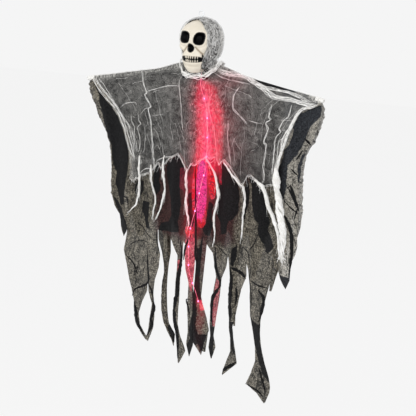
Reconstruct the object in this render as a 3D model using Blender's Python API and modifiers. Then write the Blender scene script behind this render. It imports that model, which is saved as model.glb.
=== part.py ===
"""Hanging ghost decoration: plastic skull, gauze hood, cloth draped over two arm rods, and a light string.

Metres, +Z up, -Y is the front. The origin is the centre of the hanging eye on the crown.
"""
import math

import bmesh
import bpy
from mathutils import Matrix, Vector
from mathutils.bvhtree import BVHTree

# Shared clearances and stock sizes
GAP = 0.0003
RUNNING_GAP = 0.0004
OVERRUN = 0.002
PRINT_SCALE_MM = 1000.0

# Hanging eye
EYE_RING_RADIUS = 0.0072
EYE_WIRE_RADIUS = 0.0011
EYE_STOP_RADIUS = 0.0026
EYE_STOP_LENGTH = 0.0040
EYE_STOP_CLEARANCE = 0.0004
EYE_RING_SEGMENTS = 14

# Skull shell
CROWN_DROP = 0.0135
SKULL_HEIGHT = 0.129
SKULL_WIDTH = 0.096
SKULL_FRONT = 0.058
SKULL_BACK = 0.055
SKULL_WALL = 0.0022
SKULL_LIP = 0.006
SEAM_HALF_GAP = 0.00045
SEAM_ANGLE = math.radians(90)
CHIN_ANGLE = math.radians(57)
CROWN_SHARE = 0.40
CROWN_HOLE_SHARE = 0.0002
BASE_SHARE = 0.69
FACE_COLUMNS = 16
BACK_COLUMNS = 12
# height share, half width share, front share, back share, below the widest level
SKULL_LEVEL_shares = (
    (0.40, 1.00, 1.00, 1.00),
    (0.50, 0.97, 0.95, 0.97),
    (0.60, 0.93, 0.98, 0.88),
    (0.70, 0.86, 1.01, 0.74),
    (0.80, 0.77, 1.00, 0.66),
    (0.90, 0.66, 0.97, 0.62),
    (1.00, 0.47, 0.87, 0.58),
)
FACE_ROW_shares = (
    0.0002, 0.006, 0.03, 0.08, 0.15, 0.23, 0.31, 0.40, 0.50, 0.60, 0.70, 0.80, 0.90, 0.96, 1.00,
)
BACK_ROW_shares = (0.0002, 0.008, 0.04, 0.12, 0.22, 0.32, 0.42, 0.52, 0.61, 0.69)

# Face openings
SOCKET_X = 0.0215
SOCKET_SHARE = 0.318
SOCKET_HALF_WIDTH = 0.0148
SOCKET_HALF_HEIGHT = 0.0162
SOCKET_DEPTH = 0.014
SOCKET_YAW = math.radians(13)
NOSE_SHARE = 0.512
NOSE_HALF_WIDTH = 0.0080
NOSE_HALF_HEIGHT = 0.0112
NOSE_DEPTH = 0.010
CUP_WALL = 0.0012
CUTTER_DEPTH = 0.030
MOUTH_HALF_WIDTH = 0.0275
MOUTH_TOP_SHARE = 0.636
MOUTH_BOTTOM_SHARE = 0.830
MOUTH_CORNER = 0.004
LINER_ANGLE = math.radians(58)
LINER_MARGIN_SHARE = 0.031
LINER_COLUMNS = 16
LINER_CLEARANCE = 0.0012
TEETH_ANGLE = math.radians(37)
TEETH_COUNT = 8
UPPER_TEETH_SHARE = 0.651
UPPER_TEETH_HEIGHT_SHARE = 0.078
LOWER_TEETH_SHARE = 0.740
LOWER_TEETH_HEIGHT_SHARE = 0.070
TOOTH_GROOVE = 0.0010
TOOTH_POINT_SHARE = 0.014

# Skull base and neck post
BASE_THICKNESS = 0.0025
BASE_OPEN_ANGLE = math.radians(62)
BASE_POINTS = 20
COLLAR_RADIUS = 0.010
COLLAR_LENGTH = 0.01549
COLLAR_DROP = CROWN_DROP + SKULL_HEIGHT * BASE_SHARE + COLLAR_LENGTH
POST_RADIUS = 0.0060
POST_FLANGE_RADIUS = 0.0095
POST_FLANGE_THICKNESS = 0.003
POST_SEAT_DEPTH = 0.006

# Hood
HOOD_THICKNESS = 0.0012
HOOD_FOLD = 0.0022
HOOD_CLEARANCE = 0.0013
HOOD_FOLDS = 9
HOOD_OPEN_ANGLE = math.radians(50)
HOOD_BROW_SHARE = 0.075
HOOD_COLUMNS = 28
HOOD_ROW_shares = (0.0, 0.035, 0.075, 0.15, 0.27, 0.40, 0.52, 0.64, 0.755)
HOOD_CROWN_HOLE = 0.004

# Shoulder hub and arms
SHOULDER_X = 0.030
NECK_GAP = 0.018
SHOULDER_DROP = COLLAR_DROP + NECK_GAP
DROOP = math.radians(10.4)
ARM_REACH = 0.309
HUB_HALF_LENGTH = 0.039
HUB_CORE_HALF_LENGTH = 0.014
HUB_HALF_DEPTH = 0.0054
HUB_TOP = 0.0075
HUB_BOTTOM = 0.0085
SLOT_HALF_WIDTH = 0.0034
TONGUE_HALF_WIDTH = 0.010
TONGUE_THICKNESS = 0.004
TONGUE_OVERLAP = 0.031
PIN_RADIUS = 0.0018
PIN_LENGTH = 0.0106
SOCKET_EYE_RADIUS = 0.0068
SOCKET_BARREL_RADIUS = 0.0045
SOCKET_BARREL_LENGTH = 0.030
SOCKET_BORE_DEPTH = 0.022
ROD_RADIUS = 0.0025
CAP_RADIUS = 0.0062
CAP_BORE_DEPTH = 0.008
TIE_WIDTH = 0.0032
TIE_INSET = 0.0115

# Battery box, lid, cells and switch
CELL_RADIUS = 0.0071
CELL_LENGTH = 0.050
CELL_NUB_RADIUS = 0.0027
CELL_NUB_HEIGHT = 0.0012
SPRING_ROOM = 0.009
SWITCH_ROOM = 0.0025
BOX_SIDE_WALL = 0.0025
BOX_WALL = 0.0015
GROOVE_DEPTH = 0.0012
GROOVE_WIDTH = 0.0018
GROOVE_SETBACK = 0.0014
BOX_HALF_WIDTH = 2 * CELL_RADIUS + GAP + SWITCH_ROOM + BOX_SIDE_WALL
BOX_DEPTH = BOX_WALL + 2 * CELL_RADIUS + 2 * GAP + GROOVE_WIDTH + GROOVE_SETBACK
BOX_HEIGHT = CELL_LENGTH + SPRING_ROOM + 2 * BOX_WALL
BOX_CLEARANCE = 0.0155
BOX_DROP = SHOULDER_DROP + HUB_BOTTOM + BOX_CLEARANCE
LID_THICKNESS = 0.0012
LID_RIDGE_HALF_WIDTH = 0.006
LID_RIDGE_HEIGHT = 0.0015
LID_RIDGE_INSET = 0.004
CONTACT_THICKNESS = 0.0006
CONTACT_HALF_WIDTH = 0.005
SPRING_RADIUS = 0.0036
SPRING_WIRE_RADIUS = 0.0004
SPRING_TURNS = 3
SPRING_TURN_POINTS = 7
SWITCH_INSET = 0.020
SWITCH_DROP = BOX_DROP + SWITCH_INSET
SWITCH_TRAVEL = 0.003
KNOB_HALF_DEPTH = 0.0014
KNOB_HALF_HEIGHT = 0.0020
KNOB_FLANGE = 0.0012
KNOB_STAND_OUT = 0.0022
SCREW_SHANK_RADIUS = 0.0013
SCREW_HEAD_RADIUS = 0.0026
SCREW_HEAD_HEIGHT = 0.0012
SCREW_LENGTH = 0.0045
SCREW_INSET = 0.012
SCREW_DROP = BOX_DROP + SCREW_INSET
GROMMET_BASE_RADIUS = 0.0032
GROMMET_TIP_RADIUS = 0.0019
GROMMET_HEIGHT = 0.007
GROMMET_X = 0.010

# Cloth: reach of each sheet, how it stands off the rods, and its folds
CLOTH_THICKNESS = 0.0012
CLOTH_END_GAP = 0.0044
CLOTH_HALF_SPAN = SHOULDER_X + (ARM_REACH - TIE_INSET) * math.cos(DROOP) - TIE_WIDTH - CLOTH_END_GAP
SEAM_GAP = 0.0003
COLLAR_LINE_RISE = 0.006
COLLAR_LINE_DROP = SHOULDER_DROP - COLLAR_LINE_RISE
DRESS_LENGTH = 0.876
ROD_RISE = 0.0035
HUB_RISE = 0.0125
HUB_RISE_END = 0.050
ROD_RISE_START = 0.135
SPREAD_CENTRE = 0.0215
SPREAD_TIP = 0.006
SPREAD_DROP = 0.034
LOWER_SPREAD = 0.006
GAUZE_STANDOFF = 0.0021
GAUZE_LOWER_GAP = 0.0050
GAUZE_LOWER_GAP_DROP = 0.045
GAUZE_CENTRE_GAP = 0.0040
FOLD_HEIGHT = 0.0065
FOLD_LENGTH = 0.078
FOLD_START = 0.020
FOLD_FULL = 0.150
FOLD_CALM_HALF_WIDTH = 0.045
FOLD_BACK_TURN = math.radians(109)
NECK_OPENING = 0.034
ROBE_COLUMNS = 19
ROBE_PANEL_ROWS = 5
ROBE_STRIP_ROWS = 4
GAUZE_COLUMNS = 16
GAUZE_PANEL_ROWS = 7

# Edge of the sheets, as drop share of the dress length and share of the half span
ROBE_EDGE_shares = ((0.0, 1.0), (0.14, 0.985), (0.33, 0.90), (0.43, 0.90), (0.60, 0.82), (1.0, 0.62))
GAUZE_LEFT_EDGE_shares = ((0.0, 0.97), (0.085, 0.90), (0.20, 0.64), (0.28, 0.55), (0.40, 0.54), (1.0, 0.54))
GAUZE_RIGHT_EDGE_shares = ((0.0, 0.97), (0.11, 0.92), (0.21, 0.80), (0.28, 0.74), (0.36, 0.73), (1.0, 0.73))

# Robe strips: first column, last column, drop share where the gap beside it starts,
# then four (drop share, centre share of half span, width share of half span)
ROBE_FRONT_LEFT_shares = (
    (0, 2, 0.55, ((0.62, 0.066, 0.09), (0.70, 0.066, 0.06), (0.80, 0.070, 0.055), (0.885, 0.072, 0.05))),
    (3, 5, 0.53, ((0.63, 0.168, 0.065), (0.72, 0.185, 0.045), (0.81, 0.190, 0.05), (0.925, 0.180, 0.03))),
    (6, 7, 0.51, ((0.53, 0.30, 0.05), (0.55, 0.30, 0.04), (0.57, 0.305, 0.03), (0.60, 0.31, 0.015))),
    (8, 11, 0.66, ((0.60, 0.400, 0.15), (0.68, 0.425, 0.11), (0.78, 0.420, 0.04), (0.855, 0.450, 0.03))),
    (12, 14, 0.54, ((0.60, 0.560, 0.14), (0.68, 0.540, 0.11), (0.79, 0.560, 0.035), (0.858, 0.505, 0.02))),
    (15, 19, 0.46, ((0.48, 0.740, 0.16), (0.50, 0.740, 0.12), (0.53, 0.750, 0.08), (0.56, 0.770, 0.02))),
)
ROBE_BACK_LEFT_shares = (
    (0, 3, 0.50, ((0.62, 0.080, 0.08), (0.73, 0.110, 0.07), (0.84, 0.075, 0.13), (0.90, 0.060, 0.05))),
    (4, 6, 0.48, ((0.50, 0.27, 0.10), (0.51, 0.27, 0.08), (0.52, 0.27, 0.05), (0.54, 0.27, 0.02))),
    (7, 9, 0.50, ((0.60, 0.390, 0.06), (0.70, 0.410, 0.045), (0.79, 0.415, 0.045), (0.885, 0.305, 0.03))),
    (10, 14, 0.46, ((0.48, 0.62, 0.20), (0.50, 0.62, 0.16), (0.52, 0.62, 0.10), (0.55, 0.62, 0.04))),
    (15, 19, 0.40, ((0.42, 0.840, 0.10), (0.46, 0.830, 0.09), (0.51, 0.800, 0.06), (0.56, 0.765, 0.02))),
)
ROBE_FRONT_RIGHT_shares = (
    (0, 1, 0.56, ((0.60, 0.055, 0.05), (0.66, 0.060, 0.04), (0.72, 0.065, 0.035), (0.78, 0.060, 0.02))),
    (2, 4, 0.54, ((0.63, 0.175, 0.07), (0.71, 0.162, 0.05), (0.80, 0.138, 0.035), (0.90, 0.135, 0.03))),
    (5, 7, 0.57, ((0.66, 0.345, 0.10), (0.76, 0.300, 0.05), (0.86, 0.335, 0.05), (0.935, 0.245, 0.06))),
    (8, 12, 0.59, ((0.65, 0.550, 0.18), (0.76, 0.520, 0.10), (0.84, 0.560, 0.07), (1.00, 0.590, 0.10))),
    (13, 15, 0.52, ((0.54, 0.70, 0.07), (0.55, 0.70, 0.05), (0.56, 0.70, 0.035), (0.575, 0.70, 0.015))),
    (16, 19, 0.45, ((0.47, 0.80, 0.11), (0.49, 0.79, 0.09), (0.51, 0.78, 0.06), (0.535, 0.77, 0.02))),
)
ROBE_BACK_RIGHT_shares = (
    (0, 3, 0.50, ((0.52, 0.10, 0.14), (0.54, 0.10, 0.10), (0.57, 0.10, 0.06), (0.60, 0.10, 0.02))),
    (4, 6, 0.52, ((0.58, 0.30, 0.08), (0.66, 0.32, 0.05), (0.74, 0.33, 0.035), (0.80, 0.335, 0.02))),
    (7, 10, 0.50, ((0.53, 0.48, 0.14), (0.56, 0.48, 0.10), (0.60, 0.47, 0.06), (0.64, 0.46, 0.02))),
    (11, 15, 0.48, ((0.52, 0.70, 0.14), (0.57, 0.69, 0.10), (0.61, 0.68, 0.07), (0.66, 0.665, 0.02))),
    (16, 19, 0.40, ((0.42, 0.86, 0.08), (0.45, 0.86, 0.07), (0.49, 0.84, 0.05), (0.53, 0.82, 0.02))),
)
# Poncho hem: share of the half span at the top edge, and drop share
GAUZE_LEFT_HEM_shares = (
    (0.0, 0.30), (0.12, 0.315), (0.24, 0.265), (0.45, 0.30), (0.66, 0.315), (0.82, 0.345), (1.0, 0.30),
)
GAUZE_RIGHT_HEM_shares = (
    (0.0, 0.285), (0.12, 0.265), (0.28, 0.29), (0.40, 0.34), (0.55, 0.315), (0.75, 0.345), (1.0, 0.345),
)

# Strands at the poncho hem: name, radius, points as (share of half span, drop share)
STRANDS = (
    ("gauze_strand_1", 0.0048, (
        (-0.538, 0.285), (-0.541, 0.349), (-0.573, 0.427), (-0.620, 0.452), (-0.670, 0.468),
    )),
    ("gauze_strand_2", 0.0040, (
        (-0.405, 0.305), (-0.400, 0.365), (-0.379, 0.409), (-0.395, 0.440), (-0.414, 0.474),
    )),
    ("gauze_strand_3", 0.0045, (
        (-0.285, 0.272), (-0.290, 0.330), (-0.287, 0.378), (-0.330, 0.430), (-0.381, 0.478),
    )),
    ("gauze_strand_4", 0.0048, (
        (-0.040, 0.300), (-0.060, 0.360), (-0.070, 0.409), (-0.045, 0.460), (-0.060, 0.486),
    )),
    ("gauze_strand_5", 0.0056, (
        (0.119, 0.258), (0.200, 0.300), (0.223, 0.370), (0.181, 0.438), (0.188, 0.493), (0.172, 0.532),
    )),
    ("gauze_strand_6", 0.0050, (
        (0.278, 0.268), (0.400, 0.320), (0.443, 0.346), (0.430, 0.410), (0.421, 0.440), (0.404, 0.516),
    )),
    ("gauze_strand_7", 0.0075, (
        (0.560, 0.310), (0.627, 0.334), (0.650, 0.390), (0.675, 0.428), (0.722, 0.503), (0.718, 0.570),
    )),
    ("gauze_strand_8", 0.0090, (
        (0.720, 0.270), (0.730, 0.321), (0.750, 0.370), (0.772, 0.424), (0.788, 0.470), (0.785, 0.530),
    )),
)
STRAND_TIP_SHARE = 0.35
STRAND_CLEARANCE = 0.0020
STRAND_LOOKS = 4
STRAND_LOOK_UP = 0.018
STRAND_LOOK_ASIDE = 0.0045
STRAND_POINTS = 10

# Neck tie
NECK_TIE_HALF_SPAN = 0.056
NECK_TIE_RADIUS = 0.0042
NECK_TIE_DROP = 0.034
NECK_TIE_CLEARANCE = 0.0006
NECK_TIE_SIDE_LIFT = 0.0016
NECK_TIE_POINTS = 30

# Light string: wire and lamps
WIRE_RADIUS = 0.0007
LAMP_RADIUS = 0.0018
LAMP_HALF_LENGTH = 0.0026
LAMP_PITCH = 0.050
LAMP_COUNT = 13
LEAD_TO_FIRST_LAMP = 0.094
WIRE_STANDOFF = 0.0034
# Route over the hub, from the grommet to the neckline: x, y, height over the shoulder line
WIRE_NECK_ROUTE = (
    (0.0100, 0.0160, -0.0080),
    (0.0110, 0.0155, 0.0030),
    (0.0120, 0.0120, 0.0098),
    (0.0125, 0.0020, 0.0122),
    (0.0120, -0.0090, 0.0114),
    (0.0118, -0.0165, 0.0070),
    (0.0122, -0.0205, -0.0010),
    (0.0138, -0.0255, -0.0100),
    (0.0160, -0.0312, -0.0200),
)
# Route down the robe: x, and drop below the shoulder line
WIRE_FRONT_ROUTE = (
    (0.0175, 0.036),
    (0.0205, 0.052),
    (0.0290, 0.076),
    (0.0350, 0.104),
    (0.0370, 0.158),
    (0.0360, 0.199),
    (0.0320, 0.254),
    (0.0230, 0.288),
    (0.0060, 0.358),
    (-0.0110, 0.421),
    (-0.0160, 0.479),
    (-0.0140, 0.535),
    (0.0060, 0.589),
    (0.0190, 0.634),
)

IVORY = (0.80, 0.72, 0.60)
GLOSS_BLACK = (0.010, 0.010, 0.012)
SHEER_BLACK = (0.022, 0.022, 0.024)
CHEESECLOTH = (0.78, 0.76, 0.72)
HOOD_GREY = (0.42, 0.42, 0.42)
STEEL = (0.60, 0.60, 0.62)
BOX_BLACK = (0.03, 0.03, 0.03)
CELL_GREEN = (0.10, 0.22, 0.14)
LAMP_RED = (0.80, 0.03, 0.12)
CLEAR = (0.85, 0.88, 0.90)
COLLECTION_NAME = "hanging_ghost"
CUTTER_COLLECTION_NAME = "cutters"


def clear_scene():
    for old in list(bpy.data.objects):
        bpy.data.objects.remove(old)


def new_collection(name):
    collection = bpy.data.collections.new(name)
    bpy.context.scene.collection.children.link(collection)
    return collection


def material(name, colour, roughness, metallic=0.0):
    made = bpy.data.materials.new(name)
    made.use_nodes = True
    shader = made.node_tree.nodes["Principled BSDF"]
    shader.inputs["Base Color"].default_value = (*colour, 1.0)
    shader.inputs["Roughness"].default_value = roughness
    shader.inputs["Metallic"].default_value = metallic
    made.diffuse_color = (*colour, 1.0)
    return made


def place(obj, finish, parent=None, smooth=True):
    """Puts a finished object in the model's collection, under its body's empty."""
    for owner in list(obj.users_collection):
        owner.objects.unlink(obj)
    PARTS.objects.link(obj)
    if obj.type == "MESH" and smooth:
        obj.data.shade_smooth()
        obj.data.set_sharp_from_angle(angle=math.radians(40))
    obj.data.materials.clear()
    obj.data.materials.append(finish)
    if parent is not None:
        obj.parent = parent
        obj.matrix_parent_inverse = parent.matrix_world.inverted()
    return obj


def mesh_object(name, bm, finish, parent=None, smooth=True):
    mesh = bpy.data.meshes.new(name)
    bm.to_mesh(mesh)
    bm.free()
    obj = bpy.data.objects.new(name, mesh)
    return place(obj, finish, parent, smooth)


def cutter(name, bm):
    mesh = bpy.data.meshes.new(name)
    bm.to_mesh(mesh)
    bm.free()
    obj = bpy.data.objects.new(name, mesh)
    CUTTERS.objects.link(obj)
    obj.hide_render = True
    obj.display_type = "WIRE"
    return obj


def combine(obj, other, operation):
    step = obj.modifiers.new(other.name, "BOOLEAN")
    step.operation = operation
    step.object = other
    step.solver = "EXACT"


def thicken(obj, thickness, offset):
    shell = obj.modifiers.new("thickness", "SOLIDIFY")
    shell.thickness = thickness
    shell.offset = offset
    shell.use_even_offset = True


def add_box(bm, low, high):
    centre = (Vector(low) + Vector(high)) / 2
    size = Vector(high) - Vector(low)
    matrix = Matrix.Translation(centre) @ Matrix.Diagonal((*size, 1.0))
    bmesh.ops.create_cube(bm, size=1.0, matrix=matrix)


def add_cone(bm, low_radius, high_radius, length, matrix, segments=20):
    """A cone or cylinder along its own Z, starting at the matrix's origin."""
    lift = Matrix.Translation((0, 0, length / 2))
    bmesh.ops.create_cone(bm, cap_ends=True, segments=segments, radius1=low_radius, radius2=high_radius,
                          depth=length, matrix=matrix @ lift)


def along_y(x, y, z):
    """A frame at a point whose Z axis runs along world +Y."""
    return Matrix.Translation((x, y, z)) @ Matrix.Rotation(math.radians(-90), 4, "X")


def upright(x, y, z):
    return Matrix.Translation((x, y, z))


def smooth_share(value):
    held = min(1.0, max(0.0, value))
    return held * held * (3 - 2 * held)


def table_value(table, key, column=1):
    """Straight interpolation in a table whose first column rises."""
    if key <= table[0][0]:
        return table[0][column]
    for low, high in zip(table, table[1:]):
        if key <= high[0]:
            share = (key - low[0]) / (high[0] - low[0])
            return low[column] + (high[column] - low[column]) * share
    return table[-1][column]


def smooth_route(points, spacing):
    """Evenly spaced points of a Catmull-Rom curve through the given points."""
    route = [Vector(p) for p in points]
    ends = [2 * route[0] - route[1]] + route + [2 * route[-1] - route[-2]]
    fine = []
    steps = 16
    for a, b, c, d in zip(ends, ends[1:], ends[2:], ends[3:]):
        for k in range(steps):
            t = k / steps
            fine.append(0.5 * (2 * b + (c - a) * t + (2 * a - 5 * b + 4 * c - d) * t * t
                               + (3 * b - a - 3 * c + d) * t * t * t))
    fine.append(route[-1])
    lengths = [0.0]
    for p, q in zip(fine, fine[1:]):
        lengths.append(lengths[-1] + (q - p).length)

    def at(distance):
        for i in range(len(fine) - 1):
            if distance <= lengths[i + 1]:
                span = lengths[i + 1] - lengths[i]
                return fine[i].lerp(fine[i + 1], (distance - lengths[i]) / span if span else 0.0)
        return fine[-1]

    if spacing is None:
        return at, lengths[-1]
    count = max(2, round(lengths[-1] / spacing))
    return [at(lengths[-1] * k / count) for k in range(count + 1)], lengths[-1]


def wire_object(name, points, radii, finish, parent=None, resolution=2):
    """A round wire along points, as a bevelled poly curve with filled ends."""
    curve = bpy.data.curves.new(name, "CURVE")
    curve.dimensions = "3D"
    curve.bevel_depth = 1.0
    curve.bevel_resolution = resolution
    curve.use_fill_caps = True
    spline = curve.splines.new("POLY")
    spline.points.add(len(points) - 1)
    for place_at, point, radius in zip(spline.points, points, radii):
        place_at.co = (*point, 1.0)
        place_at.radius = radius
    obj = bpy.data.objects.new(name, curve)
    return place(obj, finish, parent, smooth=False)


def grid(bm, rows, keep=None, close=False):
    """Quads over rows of points, wound so that the outside is seen with rows running down."""
    vertices = [[bm.verts.new(p) for p in row] for row in rows]
    for r in range(len(rows) - 1):
        columns = len(rows[r])
        for c in range(columns if close else columns - 1):
            if keep is not None and not keep(r, c):
                continue
            n = (c + 1) % columns
            bm.faces.new((vertices[r][c], vertices[r + 1][c], vertices[r + 1][n], vertices[r][n]))
    loose = [v for v in bm.verts if not v.link_faces]
    bmesh.ops.delete(bm, geom=loose, context="VERTS")


# Skull

def skull_level(share):
    """Half width, front and back reach of the skull at a share of its height."""
    if share < CROWN_SHARE:
        round_share = math.sqrt(max(0.0, 1 - (1 - share / CROWN_SHARE) ** 2))
        return SKULL_WIDTH / 2 * round_share, SKULL_FRONT * round_share, SKULL_BACK * round_share
    return (SKULL_WIDTH / 2 * table_value(SKULL_LEVEL_shares, share, 1),
            SKULL_FRONT * table_value(SKULL_LEVEL_shares, share, 2),
            SKULL_BACK * table_value(SKULL_LEVEL_shares, share, 3))


def skull_point(angle, share, inset=0.0):
    """A point of the skull's skin: angle 0 is the front, positive towards +X."""
    half_width, front, back = skull_level(share)
    reach = front if math.cos(angle) > 0 else back
    lift = inset * (1 - share / CROWN_SHARE) if share < CROWN_SHARE else 0.0
    return Vector(((half_width - inset) * math.sin(angle),
                   -(reach - inset) * math.cos(angle),
                   -CROWN_DROP - SKULL_HEIGHT * share - lift))


def face_reach(share):
    """Angle from the front to the face's side edge, which draws in round the jaw."""
    below = max(0.0, (share - BASE_SHARE) / (1 - BASE_SHARE))
    return SEAM_ANGLE + (CHIN_ANGLE - SEAM_ANGLE) * math.sin(math.radians(90) * below)


def angle_steps(first, last, count):
    return [first + (last - first) * k / count for k in range(count + 1)]


def bowl(bm, half_width, half_height, depth):
    """Back half of an ellipsoid, open towards -Y."""
    bmesh.ops.create_uvsphere(bm, u_segments=14, v_segments=8, radius=1.0,
                              matrix=Matrix.Rotation(math.radians(90), 4, "X"))
    front = [v for v in bm.verts if v.co.y < -GAP]
    bmesh.ops.delete(bm, geom=front, context="VERTS")
    for vertex in bm.verts:
        vertex.co = Vector((vertex.co.x * half_width, vertex.co.y * depth, vertex.co.z * half_height))


def opening_frame(x, share, yaw):
    """Frame on the skin of the face at an opening's centre."""
    angle = math.asin(x / skull_level(share)[0])
    return Matrix.Translation(skull_point(angle, share)) @ Matrix.Rotation(yaw, 4, "Z")


def cut_opening(face, name, frame, half_width, half_height):
    bm = bmesh.new()
    add_cone(bm, 1.0, 1.0, CUTTER_DEPTH, along_y(0, -CUTTER_DEPTH / 2, 0), segments=28)
    for vertex in bm.verts:
        vertex.co = Vector((vertex.co.x * half_width, vertex.co.y, vertex.co.z * half_height))
    bmesh.ops.transform(bm, matrix=frame, verts=bm.verts)
    combine(face, cutter(name, bm), "DIFFERENCE")


def make_cup(name, frame, half_width, half_height, depth, parent):
    bm = bmesh.new()
    bowl(bm, half_width - GAP, half_height - GAP, depth)
    bmesh.ops.translate(bm, verts=bm.verts, vec=(0, SKULL_WALL / 2, 0))
    bmesh.ops.transform(bm, matrix=frame, verts=bm.verts)
    bmesh.ops.recalc_face_normals(bm, faces=bm.faces)
    cup = mesh_object(name, bm, MATERIALS["gloss_black"], parent)
    thicken(cup, CUP_WALL, -1.0)
    return cup


def make_skull_face(parent):
    bm = bmesh.new()
    rows = []
    for share in FACE_ROW_shares:
        reach = face_reach(share)
        rows.append([skull_point(a, share) for a in angle_steps(-reach, reach, FACE_COLUMNS)])
    grid(bm, rows)
    bmesh.ops.translate(bm, verts=bm.verts, vec=(0, -SEAM_HALF_GAP, 0))
    face = mesh_object("skull_face", bm, MATERIALS["ivory"], parent)
    thicken(face, SKULL_WALL, -1.0)
    for side, name in ((-1, "left"), (1, "right")):
        frame = opening_frame(side * SOCKET_X, SOCKET_SHARE, side * SOCKET_YAW)
        cut_opening(face, name + "_socket_cutter", frame, SOCKET_HALF_WIDTH, SOCKET_HALF_HEIGHT)
        make_cup(name + "_eye_cup", frame, SOCKET_HALF_WIDTH, SOCKET_HALF_HEIGHT, SOCKET_DEPTH, parent)
    frame = opening_frame(0.0, NOSE_SHARE, 0.0)
    cut_opening(face, "nose_cutter", frame, NOSE_HALF_WIDTH, NOSE_HALF_HEIGHT)
    make_cup("nose_cup", frame, NOSE_HALF_WIDTH, NOSE_HALF_HEIGHT, NOSE_DEPTH, parent)
    bm = bmesh.new()
    mouth_low = skull_point(0, MOUTH_BOTTOM_SHARE).z
    mouth_high = skull_point(0, MOUTH_TOP_SHARE).z
    add_box(bm, (-MOUTH_HALF_WIDTH, -SKULL_FRONT - CUTTER_DEPTH / 2, mouth_low),
            (MOUTH_HALF_WIDTH, -CUTTER_DEPTH, mouth_high))
    upright_edges = [e for e in bm.edges if abs((e.verts[0].co - e.verts[1].co).y) > CUTTER_DEPTH / 2]
    bmesh.ops.bevel(bm, geom=upright_edges, offset=MOUTH_CORNER, segments=3, affect="EDGES", profile=0.5)
    combine(face, cutter("mouth_cutter", bm), "DIFFERENCE")
    return face


def make_skull_back(parent):
    bm = bmesh.new()
    angles = angle_steps(math.pi - SEAM_ANGLE, math.pi + SEAM_ANGLE, BACK_COLUMNS)
    rows = [[skull_point(a, share) for a in angles] for share in BACK_ROW_shares]
    rows.append([skull_point(a, BASE_SHARE, SKULL_LIP) for a in angles])
    grid(bm, rows)
    bmesh.ops.translate(bm, verts=bm.verts, vec=(0, SEAM_HALF_GAP, 0))
    back = mesh_object("skull_back", bm, MATERIALS["ivory"], parent)
    thicken(back, SKULL_WALL, -1.0)


def make_mouth(parent):
    """Dark liner behind the mouth opening, with the two tooth rows seated on it."""
    bm = bmesh.new()
    angles = angle_steps(-LINER_ANGLE, LINER_ANGLE, LINER_COLUMNS)
    levels = angle_steps(MOUTH_TOP_SHARE - LINER_MARGIN_SHARE, MOUTH_BOTTOM_SHARE + LINER_MARGIN_SHARE, 3)
    inset = SKULL_WALL + LINER_CLEARANCE
    grid(bm, [[skull_point(a, level, inset) for a in angles] for level in levels])
    liner = mesh_object("mouth_liner", bm, MATERIALS["gloss_black"], parent)
    thicken(liner, CUP_WALL, -1.0)
    for name, top, height, points_down in (
            ("upper_teeth", UPPER_TEETH_SHARE, UPPER_TEETH_HEIGHT_SHARE, True),
            ("lower_teeth", LOWER_TEETH_SHARE, LOWER_TEETH_HEIGHT_SHARE, False)):
        make_teeth(name, top, height, points_down, parent)


def make_teeth(name, top, height, points_down, parent):
    bm = bmesh.new()
    count = TEETH_COUNT * 3
    angles = angle_steps(-TEETH_ANGLE, TEETH_ANGLE, count)
    rows = []
    for level in range(4):
        row = []
        for k, angle in enumerate(angles):
            groove = k % 3 == 0
            share = level / 3
            reach = share if points_down else 1 - share
            cut_back = TOOTH_POINT_SHARE * reach if groove else 0.0
            level_share = top + height * share + (-cut_back if points_down else cut_back)
            inset = TOOTH_GROOVE if groove else 0.0
            row.append(skull_point(angle, level_share, inset))
        rows.append(row)
    grid(bm, rows)
    teeth = mesh_object(name, bm, MATERIALS["ivory"], parent)
    shell = SKULL_WALL + LINER_CLEARANCE - TOOTH_GROOVE - GAP
    thicken(teeth, shell, -1.0)


def make_skull_base(parent):
    """Plate across the skull's foot with the neck collar, moulded in one."""
    top_z = base_plate_bottom() + BASE_THICKNESS
    bm = bmesh.new()
    inset = SKULL_WALL + GAP
    angles = angle_steps(BASE_OPEN_ANGLE, math.radians(360) - BASE_OPEN_ANGLE, BASE_POINTS)
    outline = [skull_point(a, BASE_SHARE - BASE_THICKNESS / SKULL_HEIGHT / 2, inset) for a in angles]
    for z in (base_plate_bottom(), top_z):
        for point in outline:
            bm.verts.new((point.x, point.y, z))
    bmesh.ops.convex_hull(bm, input=bm.verts)
    bmesh.ops.dissolve_limit(bm, angle_limit=math.radians(1), verts=bm.verts, edges=bm.edges)
    plate = mesh_object("skull_base", bm, MATERIALS["ivory"], parent, smooth=False)
    collar = bmesh.new()
    add_cone(collar, COLLAR_RADIUS, COLLAR_RADIUS, COLLAR_DROP + top_z - BASE_THICKNESS / 2,
             upright(0, 0, -COLLAR_DROP), segments=28)
    combine(plate, cutter("collar_body", collar), "UNION")
    bore = bmesh.new()
    radius = POST_RADIUS + RUNNING_GAP
    add_cone(bore, radius, radius, SKULL_HEIGHT / 2, upright(0, 0, -COLLAR_DROP - OVERRUN), segments=28)
    combine(plate, cutter("collar_bore", bore), "DIFFERENCE")


def base_plate_bottom():
    return -CROWN_DROP - SKULL_HEIGHT * BASE_SHARE + SKULL_WALL + GAP


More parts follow.
